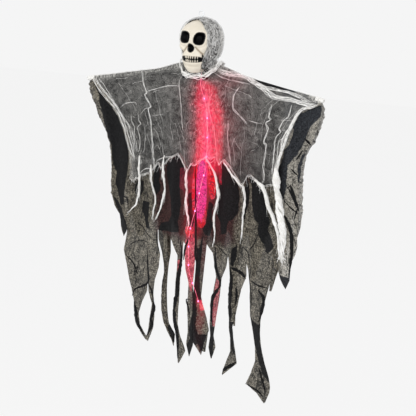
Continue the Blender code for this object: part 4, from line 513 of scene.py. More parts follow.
class Tubes:
    """Thin round threads gathered into one mesh."""

    def __init__(self):
        self.points, self.faces, self.along, self.glow = [], [], [], []

    def add(self, line, radii, sides=5):
        first = len(self.points)
        up = Vector((0.31, 0.87, 0.38))
        count = len(line)
        travelled = 0.0
        for k, point in enumerate(line):
            ahead = line[min(k + 1, count - 1)] - line[max(k - 1, 0)]
            if ahead.length < 1e-9:
                ahead = Vector((0, 0, -1))
            ahead.normalize()
            across = ahead.cross(up)
            if across.length < 1e-6:
                across = ahead.cross(Vector((1, 0, 0)))
            across.normalize()
            other = ahead.cross(across)
            if k:
                travelled += (point - line[k - 1]).length
            radius = radii[k] if hasattr(radii, "__len__") else radii
            for s in range(sides):
                angle = FULL_TURN * s / sides
                self.points.append(point + (across * math.cos(angle) + other * math.sin(angle)) * radius)
                self.along.append((s / sides * 0.004, travelled))
                self.glow.append(glow_at(point.x, point.z) if point.y < 0.02 else 0.0)
        for k in range(count - 1):
            for s in range(sides):
                n = (s + 1) % sides
                a, b = first + k * sides, first + (k + 1) * sides
                self.faces.append((a + s, a + n, b + n, b + s))
        self.faces.append(tuple(first + s for s in range(sides)))
        self.faces.append(tuple(first + (count - 1) * sides + s for s in reversed(range(sides))))

    def finish(self, name, finish):
        return make_mesh(name, self.points, self.faces, finish, {"glow": self.glow}, self.along)


# Shape of the skull and of the cloth, as in the frame

def skull_level(share):
    """Half width, front and back reach of the skull at a share of its height."""
    if share < CROWN_SHARE:
        round_share = math.sqrt(max(0.0, 1 - (1 - share / CROWN_SHARE) ** 2))
        return SKULL_WIDTH / 2 * round_share, SKULL_FRONT * round_share, SKULL_BACK * round_share
    return (SKULL_WIDTH / 2 * table_value(SKULL_LEVELS, share, 1), SKULL_FRONT * table_value(SKULL_LEVELS, share, 2),
            SKULL_BACK * table_value(SKULL_LEVELS, share, 3))


def skull_point(angle, share, inset=0.0):
    """Point of the skull at an angle from its front and a share of its height."""
    half_width, front, back = skull_level(share)
    reach = front if math.cos(angle) > 0 else back
    lift = inset * (1 - share / CROWN_SHARE) if share < CROWN_SHARE else 0.0
    return Vector(((half_width - inset) * math.sin(angle), -(reach - inset) * math.cos(angle),
                   -SKULL_CROWN_DROP - SKULL_HEIGHT * share - lift))


def face_reach(share):
    """Half angle that the face covers at a share of its height."""
    below = max(0.0, (share - BASE_SHARE) / (1 - BASE_SHARE))
    return QUARTER_TURN + (CHIN_ANGLE - QUARTER_TURN) * math.sin(QUARTER_TURN * below)


def rod_line(x):
    """Height of the rods' middle line."""
    return -SHOULDER_DROP - max(0.0, abs(x) - SHOULDER_X) * math.tan(DROOP)


def rise_over(x, standoff):
    """How far a sheet lies over the rods' middle line."""
    share = smooth_share((abs(x) - 0.050) / 0.085)
    return HUB_RISE + (ROD_RISE - HUB_RISE) * share + standoff


def stand_out(x, drop, standoff, front=True):
    """Distance of a sheet from the plane of the rods at a drop below its ridge."""
    radius = rise_over(x, standoff)
    if drop < radius:
        return math.sqrt(max(0.0, radius * radius - (radius - drop) ** 2))
    below = drop - radius
    spread = 0.0215 - 0.0155 * smooth_share(abs(x) / HALF_SPAN)
    off_robe = 0.0040 * (1 - smooth_share(abs(x) / 0.090)) if standoff else 0.0
    lower_gap = 0.0050 * smooth_share(below / 0.045) if standoff else 0.0
    lower = 0.006 * smooth_share(below / DRESS_LENGTH * 2)
    eased = smooth_share(below / 0.068 + 0.5) * 2 - 1
    calm = smooth_share((abs(x) - 0.0225) / 0.045) * smooth_share((below - 0.020) / 0.130)
    turn = FULL_TURN * x / 0.078 + (0.0 if front else math.radians(109))
    return radius + (spread + off_robe) * eased + lower + lower_gap + 0.0065 * calm * math.sin(turn)


def cloth_point(x, z, standoff, front=True):
    """Point of a sheet that hangs from the rods."""
    ridge = rod_line(x) + rise_over(x, standoff)
    reach = stand_out(x, max(0.0, ridge - z), standoff, front)
    return Vector((x, facing(front) * reach, z))


def ridge_point(x, standoff, turn, front):
    """Point of a sheet where it bends over the rod."""
    radius = rise_over(x, standoff)
    reach = radius * math.sin(turn)
    return Vector((x, facing(front) * reach, rod_line(x) + radius * math.cos(turn)))


# Light of the string through the cloth

GLOW_TABLE = (  # height, middle across, half width, strength, strength of the core
    (-1.00, 0.000, 0.012, 0.00, 0.00), (-0.86, 0.012, 0.014, 0.04, 0.02), (-0.78, 0.016, 0.014, 0.14, 0.10),
    (-0.72, 0.004, 0.016, 0.16, 0.10), (-0.66, -0.012, 0.016, 0.14, 0.10), (-0.61, -0.014, 0.018, 0.16, 0.12),
    (-0.57, -0.010, 0.022, 0.30, 0.25), (-0.52, 0.002, 0.024, 0.55, 0.50), (-0.47, 0.012, 0.027, 0.75, 0.70),
    (-0.42, 0.021, 0.030, 0.85, 0.75), (-0.39, 0.030, 0.036, 0.95, 0.70), (-0.33, 0.034, 0.041, 0.95, 0.55),
    (-0.26, 0.034, 0.041, 0.90, 0.50), (-0.21, 0.028, 0.038, 0.85, 0.50), (-0.18, 0.024, 0.032, 0.70, 0.35),
    (-0.165, 0.022, 0.026, 0.60, 0.15), (-0.158, 0.020, 0.024, 0.20, 0.05), (-0.15, 0.018, 0.022, 0.00, 0.00),
)
LAMPS = []


def glow_at(x, z):
    """Strength of the light that comes through the front of the cloth."""
    middle = table_value(GLOW_TABLE, z, 1)
    half = table_value(GLOW_TABLE, z, 2)
    across = x - middle + 0.006 * rough(z * 34, x * 20, 4.0) + 0.003 * rough(z * 110, x * 80, 8.0)
    away = abs(across) / (half * (1.36 if across > 0 and z > -0.38 else 0.98))
    near = table_value(GLOW_TABLE, z, 3) * math.exp(-(away ** 2.4))
    fade = smooth_share((z + 0.44) / 0.08) * smooth_share((-0.15 - z) / 0.04)
    dim = 0.022 * smooth_share((z + 0.60) / 0.10) * smooth_share((-0.34 - z) / 0.06)
    beside = 0.26 * math.exp(-((x - 0.088) / 0.040) ** 2 - ((z + 0.160) / 0.020) ** 2)
    return near + beside + (0.120 * fade + dim) * math.exp(-((across - 0.032) / 0.085) ** 2)


def core_at(x, z):
    """The brighter line beside the wire, with a spot at each lamp."""
    middle = table_value(GLOW_TABLE, z, 1)
    half = table_value(GLOW_TABLE, z, 2)
    line = table_value(GLOW_TABLE, z, 4) * math.exp(-((abs(x - middle) / half / 0.36) ** 2)) * 0.55
    for lamp in LAMPS:
        away = math.hypot(x - lamp.x, z - lamp.z)
        if away < 0.03:
            line += 0.80 * math.exp(-((away / 0.0050) ** 2)) + 0.15 * math.exp(-((away / 0.011) ** 2))
    return min(1.6, line)


# Shader groups

def new_group(name, inputs, outputs):
    tree = bpy.data.node_groups.new(name, "ShaderNodeTree")
    for label, kind, default in inputs:
        socket = tree.interface.new_socket(label, in_out="INPUT", socket_type=kind)
        socket.default_value = default
    for label, kind in outputs:
        tree.interface.new_socket(label, in_out="OUTPUT", socket_type=kind)
    return tree, tree.nodes.new("NodeGroupInput"), tree.nodes.new("NodeGroupOutput")


class Wiring:
    """Short ways to add and join shader nodes in one tree."""

    def __init__(self, tree):
        self.tree = tree

    def node(self, kind, **settings):
        made = self.tree.nodes.new(kind)
        for key, value in settings.items():
            setattr(made, key, value)
        return made

    def put(self, socket, value):
        if isinstance(value, bpy.types.NodeSocket):
            self.tree.links.new(value, socket)
        elif socket.type == "RGBA":
            socket.default_value = tuple(value)[:3] + (1.0,)
        else:
            socket.default_value = value

    def math(self, operation, a, b=None, c=None):
        made = self.node("ShaderNodeMath", operation=operation)
        for socket, value in zip(made.inputs, (a, b, c)):
            if value is not None:
                self.put(socket, value)
        return made.outputs[0]

    def times(self, a, b):
        return self.math("MULTIPLY", a, b)

    def times_plus(self, a, b, c):
        return self.math("MULTIPLY_ADD", a, b, c)

    def plus(self, a, b):
        return self.math("ADD", a, b)

    def minus(self, a, b):
        return self.math("SUBTRACT", a, b)

    def least(self, a, b):
        return self.math("MINIMUM", a, b)

    def most(self, a, b):
        return self.math("MAXIMUM", a, b)

    def noise(self, place, scale, detail=2.0, roughness=0.5, distortion=0.0):
        made = self.node("ShaderNodeTexNoise")
        self.put(made.inputs["Vector"], place)
        self.put(made.inputs["Scale"], scale)
        made.inputs["Detail"].default_value = detail
        made.inputs["Roughness"].default_value = roughness
        made.inputs["Distortion"].default_value = distortion
        return made.outputs["Fac"]

    def steps(self, value, low, high, to_low=0.0, to_high=1.0):
        made = self.node("ShaderNodeMapRange", interpolation_type="SMOOTHSTEP")
        self.put(made.inputs["Value"], value)
        for key, number in (("From Min", low), ("From Max", high), ("To Min", to_low), ("To Max", to_high)):
            self.put(made.inputs[key], number)
        return made.outputs["Result"]

    def mix(self, factor, a, b, blend_type="MIX"):
        made = self.node("ShaderNodeMix", data_type="RGBA", blend_type=blend_type)
        self.put(made.inputs["Factor"], factor)
        self.put(made.inputs["A"], a)
        self.put(made.inputs["B"], b)
        return made.outputs["Result"]

    def value(self, name):
        made = self.node("ShaderNodeAttribute", attribute_name=name)
        return made.outputs["Fac"]

    def place(self):
        return self.node("ShaderNodeTexCoord").outputs["Object"]

    def stretched(self, place, scale):
        made = self.node("ShaderNodeMapping", vector_type="POINT")
        self.put(made.inputs["Vector"], place)
        made.inputs["Scale"].default_value = scale
        return made.outputs["Vector"]

    def bump(self, height, strength, distance):
        made = self.node("ShaderNodeBump")
        made.inputs["Strength"].default_value = strength
        made.inputs["Distance"].default_value = distance
        self.put(made.inputs["Height"], height)
        return made.outputs["Normal"]

    def group(self, tree, **inputs):
        made = self.node("ShaderNodeGroup", node_tree=tree)
        for key, value in inputs.items():
            self.put(made.inputs[key.replace("_", " ")], value)
        return made


def weave_group():
    """Loose gauze: crossing threads, thicker and thinner places, and crumples."""
    tree, inside, out = new_group(
        "gauze weave",
        (("Pitch", "NodeSocketFloat", 0.0016), ("Fill", "NodeSocketFloat", 0.5), ("Crumple", "NodeSocketFloat", 1.0)),
        (("Threads", "NodeSocketFloat"), ("Patches", "NodeSocketFloat"), ("Height", "NodeSocketFloat")),
    )
    w = Wiring(tree)
    cloth = w.node("ShaderNodeUVMap", uv_map="cloth").outputs["UV"]
    place = w.place()
    warp = w.node("ShaderNodeTexNoise")
    w.put(warp.inputs["Vector"], place)
    warp.inputs["Scale"].default_value = 45.0
    warp.inputs["Detail"].default_value = 2.0
    shift = w.node("ShaderNodeVectorMath", operation="SCALE")
    w.put(shift.inputs[0], warp.outputs["Color"])
    shift.inputs["Scale"].default_value = 0.006
    moved = w.node("ShaderNodeVectorMath", operation="ADD")
    w.put(moved.inputs[0], cloth)
    w.put(moved.inputs[1], shift.outputs["Vector"])
    parts = w.node("ShaderNodeSeparateXYZ")
    w.put(parts.inputs[0], moved.outputs["Vector"])
    turns = w.math("DIVIDE", FULL_TURN, inside.outputs["Pitch"])
    across = w.math("ABSOLUTE", w.math("SINE", w.times(parts.outputs["X"], turns)))
    down = w.math("ABSOLUTE", w.math("SINE", w.times(parts.outputs["Y"], turns)))
    threads = w.most(across, down)
    fine = w.noise(place, 700.0, 2.0, 0.6)
    patches = w.noise(w.stretched(place, (0.8, 1.0, 1.0)), 85.0, 4.0, 0.62, 0.6)
    broad = w.noise(place, 17.0, 3.0, 0.55, 0.8)
    mixed = w.plus(w.times(patches, 0.62), w.times(broad, 0.38))
    covered = w.steps(threads, w.minus(1.0, inside.outputs["Fill"]), 1.02)
    w.put(out.inputs["Threads"], w.plus(w.times(covered, 0.7), w.times(fine, 0.3)))
    w.put(out.inputs["Patches"], mixed)
    crumple = w.times(w.plus(mixed, w.times(patches, 0.5)), inside.outputs["Crumple"])
    w.put(out.inputs["Height"], w.plus(crumple, w.times(threads, 0.18)))
    return tree


def grain_group():
    """Fine moulded grain with soft wear and dust."""
    tree, inside, out = new_group(
        "moulded grain",
        (("Scale", "NodeSocketFloat", 900.0), ("Dust", "NodeSocketFloat", 0.3)),
        (("Grain", "NodeSocketFloat"), ("Wear", "NodeSocketFloat"), ("Height", "NodeSocketFloat")),
    )
    w = Wiring(tree)
    place = w.place()
    fine = w.noise(place, inside.outputs["Scale"], 3.0, 0.6)
    broad = w.noise(place, 55.0, 4.0, 0.6, 0.4)
    specks = w.noise(place, 380.0, 2.0, 0.7)
    w.put(out.inputs["Grain"], w.plus(w.times(fine, 0.5), w.times(specks, 0.5)))
    w.put(out.inputs["Wear"], w.times(w.steps(broad, 0.42, 0.68), inside.outputs["Dust"]))
    w.put(out.inputs["Height"], w.plus(fine, w.times(broad, 0.6)))
    return tree


GROUPS = {}
FINISHES = {}


def group_named(name):
    if name not in GROUPS:
        GROUPS[name] = {"weave": weave_group, "grain": grain_group}[name]()
    return GROUPS[name]


def new_finish(name, roughness=0.6, metallic=0.0):
    """A named material with its wiring and its main shader."""
    made = bpy.data.materials.new(name)
    made.use_nodes = True
    w = Wiring(made.node_tree)
    shader = made.node_tree.nodes["Principled BSDF"]
    shader.inputs["Roughness"].default_value = roughness
    shader.inputs["Metallic"].default_value = metallic
    FINISHES[name] = made
    return made, w, shader


def shaded(rgb, share):
    """A colour made darker or paler."""
    return [min(1.0, c * share) for c in rgb]


def plastic_finish(name, rgb, roughness, scale, wear_and_backlight, dust, metallic=0.0, coat=0.0):
    """Moulded plastic or metal with its own grain, tone and soft wear."""
    made, w, shader = new_finish(name, roughness, metallic)
    grain = w.group(group_named("grain"), Scale=scale, Dust=dust)
    base = w.mix(grain.outputs["Grain"], shaded(rgb, 0.82), shaded(rgb, 1.16))
    w.put(shader.inputs["Base Color"], w.mix(grain.outputs["Wear"], base, wear_and_backlight))
    w.put(shader.inputs["Roughness"], w.steps(grain.outputs["Height"], 0.4, 1.2, roughness - 0.08, roughness + 0.12))
    w.put(shader.inputs["Normal"], w.bump(grain.outputs["Height"], 0.25, 0.0002))
    shader.inputs["Coat Weight"].default_value = coat
    return made


# Name, colour, roughness, grain, worn colour, dust, metallic and coat of the plain finishes, with their nodes
PLAIN_FINISHES = (
    ("gloss black", (0.008, 0.008, 0.009), 0.24, 700.0, (0.03, 0.03, 0.03), 0.2, 0.0, 0.0, ("mouth_liner",)),
    ("black housing", (0.022, 0.022, 0.024), 0.48, 1400.0, (0.09, 0.09, 0.09), 0.35, 0.0, 0.0,
     ("neck_post", "shoulder_hub", "left_rod_socket", "right_rod_socket", "battery_box", "battery_lid", "switch_knob",
      "cord_grommet")),
    ("socket black", (0.0030, 0.0030, 0.0035), 0.40, 700.0, (0.004, 0.004, 0.004), 0.2, 0.0, 0.0, ()),
    ("steel wire", (0.56, 0.56, 0.58), 0.36, 1900.0, (0.30, 0.29, 0.27), 0.4, 1.0, 0.0,
     ("left_shoulder_pin", "right_shoulder_pin", "left_arm_rod", "right_arm_rod", "box_screw", "left_contact_plate",
      "right_contact_plate", "left_contact_spring", "right_contact_spring")),
    ("cell jacket", (0.10, 0.22, 0.14), 0.34, 800.0, (0.30, 0.34, 0.30), 0.25, 0.0, 0.3, ("left_cell", "right_cell")),
    ("clear line", (0.80, 0.83, 0.85), 0.20, 1100.0, (0.62, 0.64, 0.66), 0.25, 0.0, 0.4, ("hanging_eye",)),
)


def skull_finish(colours):
    """Ivory plastic with painted shade in its hollows, and gloss black openings."""
    made, w, shader = new_finish("ivory skull")
    grain = w.group(group_named("grain"), Scale=620.0, Dust=0.16)
    rgb = list(colours.ivory)
    base = w.mix(grain.outputs["Grain"], shaded(rgb, 0.93), shaded(rgb, 1.07))
    base = w.mix(grain.outputs["Wear"], base, (rgb[0] * 0.82, rgb[1] * 0.78, rgb[2] * 0.70))
    painted_shade = w.steps(w.value("painted_shade"), 0.0, 1.0)
    # Painted shade: the plastic darkened to brown round the openings, in the temples, sunken cheeks and creases, under
    # the lip and eyes, on the brow and at the sides of the teeth
    base = w.mix(painted_shade, base, (0.30, 0.235, 0.165))
    black = w.steps(w.value("opening"), -0.0006, 0.0003, 1.0, 0.0)
    w.put(shader.inputs["Base Color"], w.mix(black, base, (0.006, 0.006, 0.007)))
    gloss = w.steps(grain.outputs["Height"], 0.4, 1.2, 0.34, 0.50)
    w.put(shader.inputs["Roughness"], w.times_plus(black, -0.14, gloss))
    w.put(shader.inputs["Normal"], w.bump(grain.outputs["Height"], 0.22, 0.00025))
    return made


def cloth_surface(w, shader, weave, cover, bump, depth, gloss):
    """Joins a cloth's cover, torn edge, bumps and gloss to its shader."""
    torn = w.steps(w.times_plus(weave.outputs["Patches"], -0.006, w.value("edge")), -0.0034, -0.0016)
    w.put(shader.inputs["Alpha"], w.times(cover, torn))
    w.put(shader.inputs["Normal"], w.bump(weave.outputs["Height"], bump, depth))
    shader.inputs["Specular IOR Level"].default_value = gloss


def veins(w, place, stretch, scale, detail, distortion, low, high, strength):
    """Thin lines where a stretched noise crosses its middle."""
    wave = w.noise(w.stretched(place, stretch), scale, detail, 0.5, distortion)
    return w.steps(w.math("ABSOLUTE", w.minus(wave, 0.5)), low, high, strength, 0.0)


def glow_sockets(w, shader, colours, strength, weave, dim=None, creased=None):
    """Red light that shines through the cloth, broken up by its weave.

    On the robe it is held back where the cloth lies double, and lit places are added, which its creases cross.
    """
    net = w.noise(w.stretched(w.place(), (1.0, 1.0, 0.6)), 190.0, 3.0, 0.7, 1.0)
    broken = w.steps(w.times_plus(weave.outputs["Patches"], 0.6, w.times(net, 0.4)), 0.36, 0.62,
                     0.42, 1.18)
    light = w.times(w.value("glow"), broken)
    core = w.value("core")
    red = w.mix(w.least(core, 1.0), colours.glow, colours.core)
    amount = w.plus(light, w.times(core, 0.45))
    if dim is not None:
        deep = w.steps(w.value("glow"), 0.45, 0.75, 0.80, 0.0)
        amount = w.times(amount, w.minus(1.0, w.times(dim, deep)))
    lit = w.mix(1.0, red, amount, "MULTIPLY")
    if creased is not None:
        spread = w.steps(w.times_plus(weave.outputs["Patches"], 0.003, w.value("lit")), 0.0026, 0.0008)
        shown = w.times(spread, w.value("level"))
        tone = w.mix(w.value("tint"), (0.95, 0.006, 0.02), (0.98, 0.045, 0.30))
        tone = w.mix(w.steps(weave.outputs["Patches"], 0.50, 0.64, 0.0, 0.28), tone, (1.0, 0.35, 0.55))
        # Painted shade where the creases cross the lit places
        tone = w.mix(w.times(creased, 0.75), tone, (0.10, 0.004, 0.02))
        lit = w.mix(shown, lit, tone)
    w.put(shader.inputs["Emission Color"], lit)
    shader.inputs["Emission Strength"].default_value = strength


def black_gauze_finish(colours):
    """Sheer black cloth: nearly black where it lies double, olive grey where one layer shows the light."""
    made, w, shader = new_finish("sheer black gauze", 0.80)
    weave = w.group(group_named("weave"), Pitch=0.0022, Fill=0.62, Crumple=1.0)
    place = w.place()
    spots = w.steps(w.noise(place, 310.0, 3.0, 0.75), 0.38, 0.64)
    upright = veins(w, place, (1.0, 1.0, 0.40), 30.0, 2.0, 2.2, 0.008, 0.026, 1.0)
    level = veins(w, place, (0.7, 1.0, 1.2), 62.0, 2.0, 1.8, 0.008, 0.036, 0.95)
    light = veins(w, place, (1.3, 1.0, 0.8), 88.0, 1.0, 1.2, 0.0, 0.030, 0.9)
    fine_creases = veins(w, place, (1.0, 1.0, 0.65), 96.0, 2.0, 2.4, 0.006, 0.034, 0.62)
    # Painted shade along the creases of the cloth, which are also drawn more opaque
    crease_shade = w.most(w.most(upright, level), fine_creases)
    shadow = w.steps(weave.outputs["Patches"], 0.44, 0.64)
    thin = w.value("thin")
    blots = w.steps(w.noise(w.stretched(place, (1.0, 1.0, 0.7)), 140.0, 2.0, 0.6, 0.8), 0.40, 0.60)
    olive = w.mix(spots, (0.040, 0.036, 0.029), (0.380, 0.340, 0.268))
    olive = w.mix(w.times(blots, 0.52), olive, (0.036, 0.032, 0.027))
    # Painted light: the olive is paler where the cloth is thin, for the light that shows through it
    pale = w.mix(spots, (0.20, 0.19, 0.165), (0.56, 0.525, 0.46))
    olive = w.mix(thin, olive, pale)
    olive = w.mix(w.times(light, 0.55), olive, (0.36, 0.33, 0.27))
    olive = w.mix(w.times(shadow, w.times_plus(thin, -0.35, 0.50)), olive,
                  (0.030, 0.028, 0.024))
    # Painted shade along the creases
    olive = w.mix(w.times(crease_shade, 0.88), olive, (0.012, 0.012, 0.012))
    # Painted shade: the middle of the robe darkened to maroon, tinted by the lamps' red light
    maroon = w.mix(spots, (0.009, 0.005, 0.005), (0.062, 0.024, 0.024))
    olive = w.mix(w.times(w.value("dusk"), 0.93), olive, maroon)
    # Painted red light of the lamps in the base colour, where the cloth glows
    red = w.least(w.times(w.value("glow"), 2.2), 0.92)
    olive = w.mix(red, olive, (0.07, 0.008, 0.012))
    edge = w.times_plus(w.minus(weave.outputs["Patches"], 0.5), 0.012, w.value("folded"))
    double = w.steps(edge, -0.0007, 0.0007, 1.0, 0.0)
    black = w.mix(spots, (0.0036, 0.0036, 0.0040), (0.016, 0.016, 0.017))
    # Painted light: paler black where the cloth is thin, for the light that shows through it
    wear_and_backlight = w.mix(spots, (0.010, 0.011, 0.014), (0.058, 0.064, 0.074))
    black = w.mix(w.times(thin, 0.8), black, wear_and_backlight)
    # Painted shade along the creases and in the shadowed patches
    black = w.mix(w.times(w.most(crease_shade, shadow), 0.35), black, (0.004, 0.004, 0.005))
    black = w.mix(red, black, (0.010, 0.004, 0.005))
    w.put(shader.inputs["Base Color"], w.mix(double, olive, black))
    thick = w.times_plus(spots, -0.07, 0.99)
    thick = w.times_plus(thin, -0.10, thick)
    thick = w.most(thick, w.times(w.most(crease_shade, double), 0.99))
    cloth_surface(w, shader, weave, thick, 0.55, 0.0014, 0.12)
    glow_sockets(w, shader, colours, 0.95, weave, dim=double, creased=crease_shade)
    return made


def pale_gauze_finish(colours):
    """Loose pale gauze, mostly holes, so that what is under it gives its tone."""
    made, w, shader = new_finish("pale gauze", 0.85)
    weave = w.group(group_named("weave"), Pitch=0.0017, Fill=0.42, Crumple=0.8)
    rgb = list(colours.cheesecloth)
    glow = w.least(w.times(w.value("glow"), 1.2), 1.0)
    base = w.mix(weave.outputs["Patches"], shaded(rgb, 0.80), rgb)
    w.put(shader.inputs["Base Color"], w.mix(glow, base, (0.95, 0.30, 0.36)))
    grains = w.noise(w.place(), 420.0, 3.0, 0.7)
    light = w.steps(weave.outputs["Patches"], 0.36, 0.68, 0.035, 0.155)
    fine = w.times(light, w.times_plus(weave.outputs["Threads"], 1.1, 0.5))
    fine = w.times(fine, w.steps(grains, 0.30, 0.70, 0.35, 1.75))
    streaks = w.noise(w.stretched(w.place(), (1.0, 1.0, 0.22)), 210.0, 2.0, 0.6, 0.4)
    bunched = w.times(w.value("bunch"), w.steps(streaks, 0.38, 0.60, 0.15, 1.0))
    bunched = w.times_plus(bunched, 0.55, fine)
    net = w.steps(w.noise(w.stretched(w.place(), (1.0, 1.0, 0.5)), 240.0, 3.0, 0.7, 0.8), 0.50, 0.60, 0.0, 0.34)
    bunched = w.times_plus(net, glow, bunched)
    cloth_surface(w, shader, weave, w.least(bunched, 0.9), 0.5, 0.0010, 0.25)
    glow_sockets(w, shader, colours, 0.62, weave)
    return made


def hood_finish(name, tone, cover, spread):
    """Hood gauze: grey cloth with paler threads lying over it."""
    made, w, shader = new_finish(name, 0.85)
    weave = w.group(group_named("weave"), Pitch=0.0019, Fill=0.5, Crumple=1.1)
    bands = w.noise(w.stretched(w.place(), (1.4, 1.4, 0.42)), 125.0, 3.0, 0.6, 1.8)
    pale = w.steps(bands, 0.53, 0.58)
    deep = w.steps(bands, 0.48, 0.43)
    spots = w.steps(w.noise(w.place(), 160.0, 3.0, 0.75), 0.42, 0.58)
    base = w.mix(spots, shaded(tone, 0.14), shaded(tone, 2.1))
    base = w.mix(w.times(deep, 0.85), base, shaded(tone, 0.10))
    base = w.mix(w.times(pale, 0.92), base, (0.86, 0.85, 0.83))
    shade = w.times(w.value("shade"), w.steps(spots, 0.2, 0.8, 1.0, 0.55))
    w.put(shader.inputs["Base Color"], w.mix(shade, base, (0.006, 0.006, 0.007)))
    fill = w.steps(weave.outputs["Patches"], 0.30, 0.68, cover - spread, cover + spread)
    fill = w.most(w.times_plus(pale, 0.15, fill), w.times(w.value("shade"), 0.95))
    cloth_surface(w, shader, weave, w.least(fill, 0.97), 0.6, 0.0010, 0.25)
    return made


def thread_finish(colours):
    """Twisted cotton threads, streaked along their length and pink where the lights reach them."""
    made, w, shader = new_finish("cotton threads", 0.88)
    cloth = w.node("ShaderNodeUVMap", uv_map="cloth").outputs["UV"]
    streaks = w.noise(w.stretched(cloth, (900.0, 60.0, 1.0)), 1.0, 3.0, 0.6)
    tone = w.noise(w.place(), 90.0, 3.0, 0.6)
    rgb = list(colours.cheesecloth)
    base = w.mix(w.steps(streaks, 0.3, 0.7), shaded(rgb, 0.78), shaded(rgb, 1.18))
    base = w.mix(w.steps(tone, 0.50, 0.75, 0.0, 0.30), base, (0.60, 0.57, 0.50))
    glow = w.least(w.times(w.value("glow"), 1.1), 0.85)
    w.put(shader.inputs["Base Color"], w.mix(glow, base, (0.98, 0.30, 0.40)))
    w.put(shader.inputs["Normal"], w.bump(streaks, 0.6, 0.0005))
    w.put(shader.inputs["Emission Color"], w.mix(1.0, (0.80, 0.06, 0.14), glow, "MULTIPLY"))
    shader.inputs["Emission Strength"].default_value = 0.35
    return made


def lamp_finish():
    """Clear red lamps and their lit wire."""
    made, w, shader = new_finish("lit red lamps", 0.3)
    tone = w.noise(w.place(), 160.0, 2.0, 0.5)
    w.put(shader.inputs["Base Color"], w.mix(tone, (0.55, 0.01, 0.04), (0.9, 0.03, 0.12)))
    lit = w.mix(w.value("lit"), (0.075, 0.003, 0.010), (1.0, 0.17, 0.46))
    lit = w.mix(w.steps(tone, 0.3, 0.7, 0.0, 0.25), lit, (1.0, 0.5, 0.65))
    w.put(shader.inputs["Emission Color"], w.mix(w.value("shown"), (0.01, 0.001, 0.002), lit))
    shader.inputs["Emission Strength"].default_value = 3.0
    return made


def node_finish(finish, *names):
    """Gives CAD nodes a finish."""
    for name in names:
        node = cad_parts[name]
        for slot in node.material_slots:
            slot.material = finish
        if not node.material_slots:
            node.data.materials.append(finish)


# Sheets of cloth

def outline_distance(outline, x, z):
    """Distance outside a closed outline, below zero inside it."""
    best, inside = 1.0, False
    for (ax, az), (bx, bz) in zip(outline, outline[1:] + outline[:1]):
        dx, dz = bx - ax, bz - az
        share = min(1.0, max(0.0, ((x - ax) * dx + (z - az) * dz) / (dx * dx + dz * dz)))
        best = min(best, math.hypot(x - ax - dx * share, z - az - dz * share))
        if (az > z) != (bz > z) and x < ax + (z - az) / (bz - az) * dx:
            inside = not inside
    return -best if inside else best


class Places:
    """Outlined places on the cloth, with the numbers that belong to each."""

    def __init__(self, rows, reach=0.012):
        self.reach = reach
        self.rows = []
        for notes, outline in rows:
            scaled = tuple((x / 1000, z / 1000) for x, z in outline)
            xs, zs = [p[0] for p in scaled], [p[1] for p in scaled]
            self.rows.append((notes, scaled, min(xs) - reach, max(xs) + reach, min(zs) - reach, max(zs) + reach))

    def nearest(self, x, z):
        best, found = self.reach, None
        for notes, outline, low_x, high_x, low_z, high_z in self.rows:
            if low_x < x < high_x and low_z < z < high_z:
                distance = outline_distance(outline, x, z)
                if distance < best:
                    best, found = distance, notes
        return best, found


def falling_value(table, z, column=1):
    """Value of a table whose heights fall, in metres."""
    millimetres = z * 1000
    if millimetres >= table[0][0]:
        return table[0][column] / 1000
    for high, low in zip(table, table[1:]):
        if millimetres >= low[0]:
            share = (high[0] - millimetres) / (high[0] - low[0])
            return (high[column] + (low[column] - high[column]) * share) / 1000
    return table[-1][column] / 1000


def strip_of(strips, column):
    """Ribbon that a column belongs to."""
    for strip in strips:
        if column <= strip[1] + 0.5:
            return strip
    return strips[-1]


def strip_across(strip, u, z):
    """Reach of a ribbon's column at a height."""
    share = min(1.0, max(0.0, (u - strip[0]) / (strip[1] - strip[0])))
    inner, outer = falling_value(strip[2], z, 1), falling_value(strip[2], z, 2)
    return inner + (outer - inner) * share


def root_at(strips, u):
    """Height and reach of the ribbon roots at a column."""
    for strip, after in zip(strips, strips[1:]):
        if strip[1] < u < after[0]:
            share = (u - strip[1]) / (after[0] - strip[1])
            z = strip[2][0][0] + (after[2][0][0] - strip[2][0][0]) * share
            return z / 1000, (strip[2][0][2] + (after[2][0][1] - strip[2][0][2]) * share) / 1000
    strip = strip_of(strips, u)
    z = strip[2][0][0] / 1000
    return z, strip_across(strip, u, z)


def seam_at(front):
    """Half the gap at the middle; the halves meet behind."""
    return SEAM / 2 if front else 0.0


def robe_place(side_name, side, strips, u, d, front):
    """Point of the robe at column u and row d: over the rod to row 2, the panel to row 7, then the ribbons."""
    edges = ROBE_EDGES[side_name]
    share = u / CLOTH_COLUMNS
    top = share * edges[0][1] / 1000
    if d < ROD_ROW:
        return ridge_point(side * (seam_at(front) + top), 0.0, math.radians(45) * d, front)
    if d <= ROOT_ROW:
        fall = ((d - ROD_ROW) / (ROOT_ROW - ROD_ROW)) ** 1.3
        root_z, root_x = root_at(strips, u)
        z = rod_line(top) + (root_z - rod_line(top)) * fall
        x = share * falling_value(edges, z)
        x += (root_x - x) * smooth_share((fall - 0.30) / 0.70)
    else:
        strip = strip_of(strips, u)
        root_z, tip_z = strip[2][0][0] / 1000, strip[2][-1][0] / 1000
        z = root_z + (tip_z - root_z) * (d - ROOT_ROW) / (TIP_ROW - ROOT_ROW)
        x = strip_across(strip, u, z)
    return cloth_point(side * (seam_at(front) + x), z, 0.0, front)


def wrinkle_shift(point, height):
    """Fine wrinkles that fade beside the light string, where the cloth hangs smooth."""
    calm = smooth_share((abs(point.x - 0.01) - 0.02) / 0.05)
    return height * (rough(point.x * 55, point.z * 38, 3.0) + 0.5 * rough(point.x * 120, point.z * 90, 7.0)) * calm


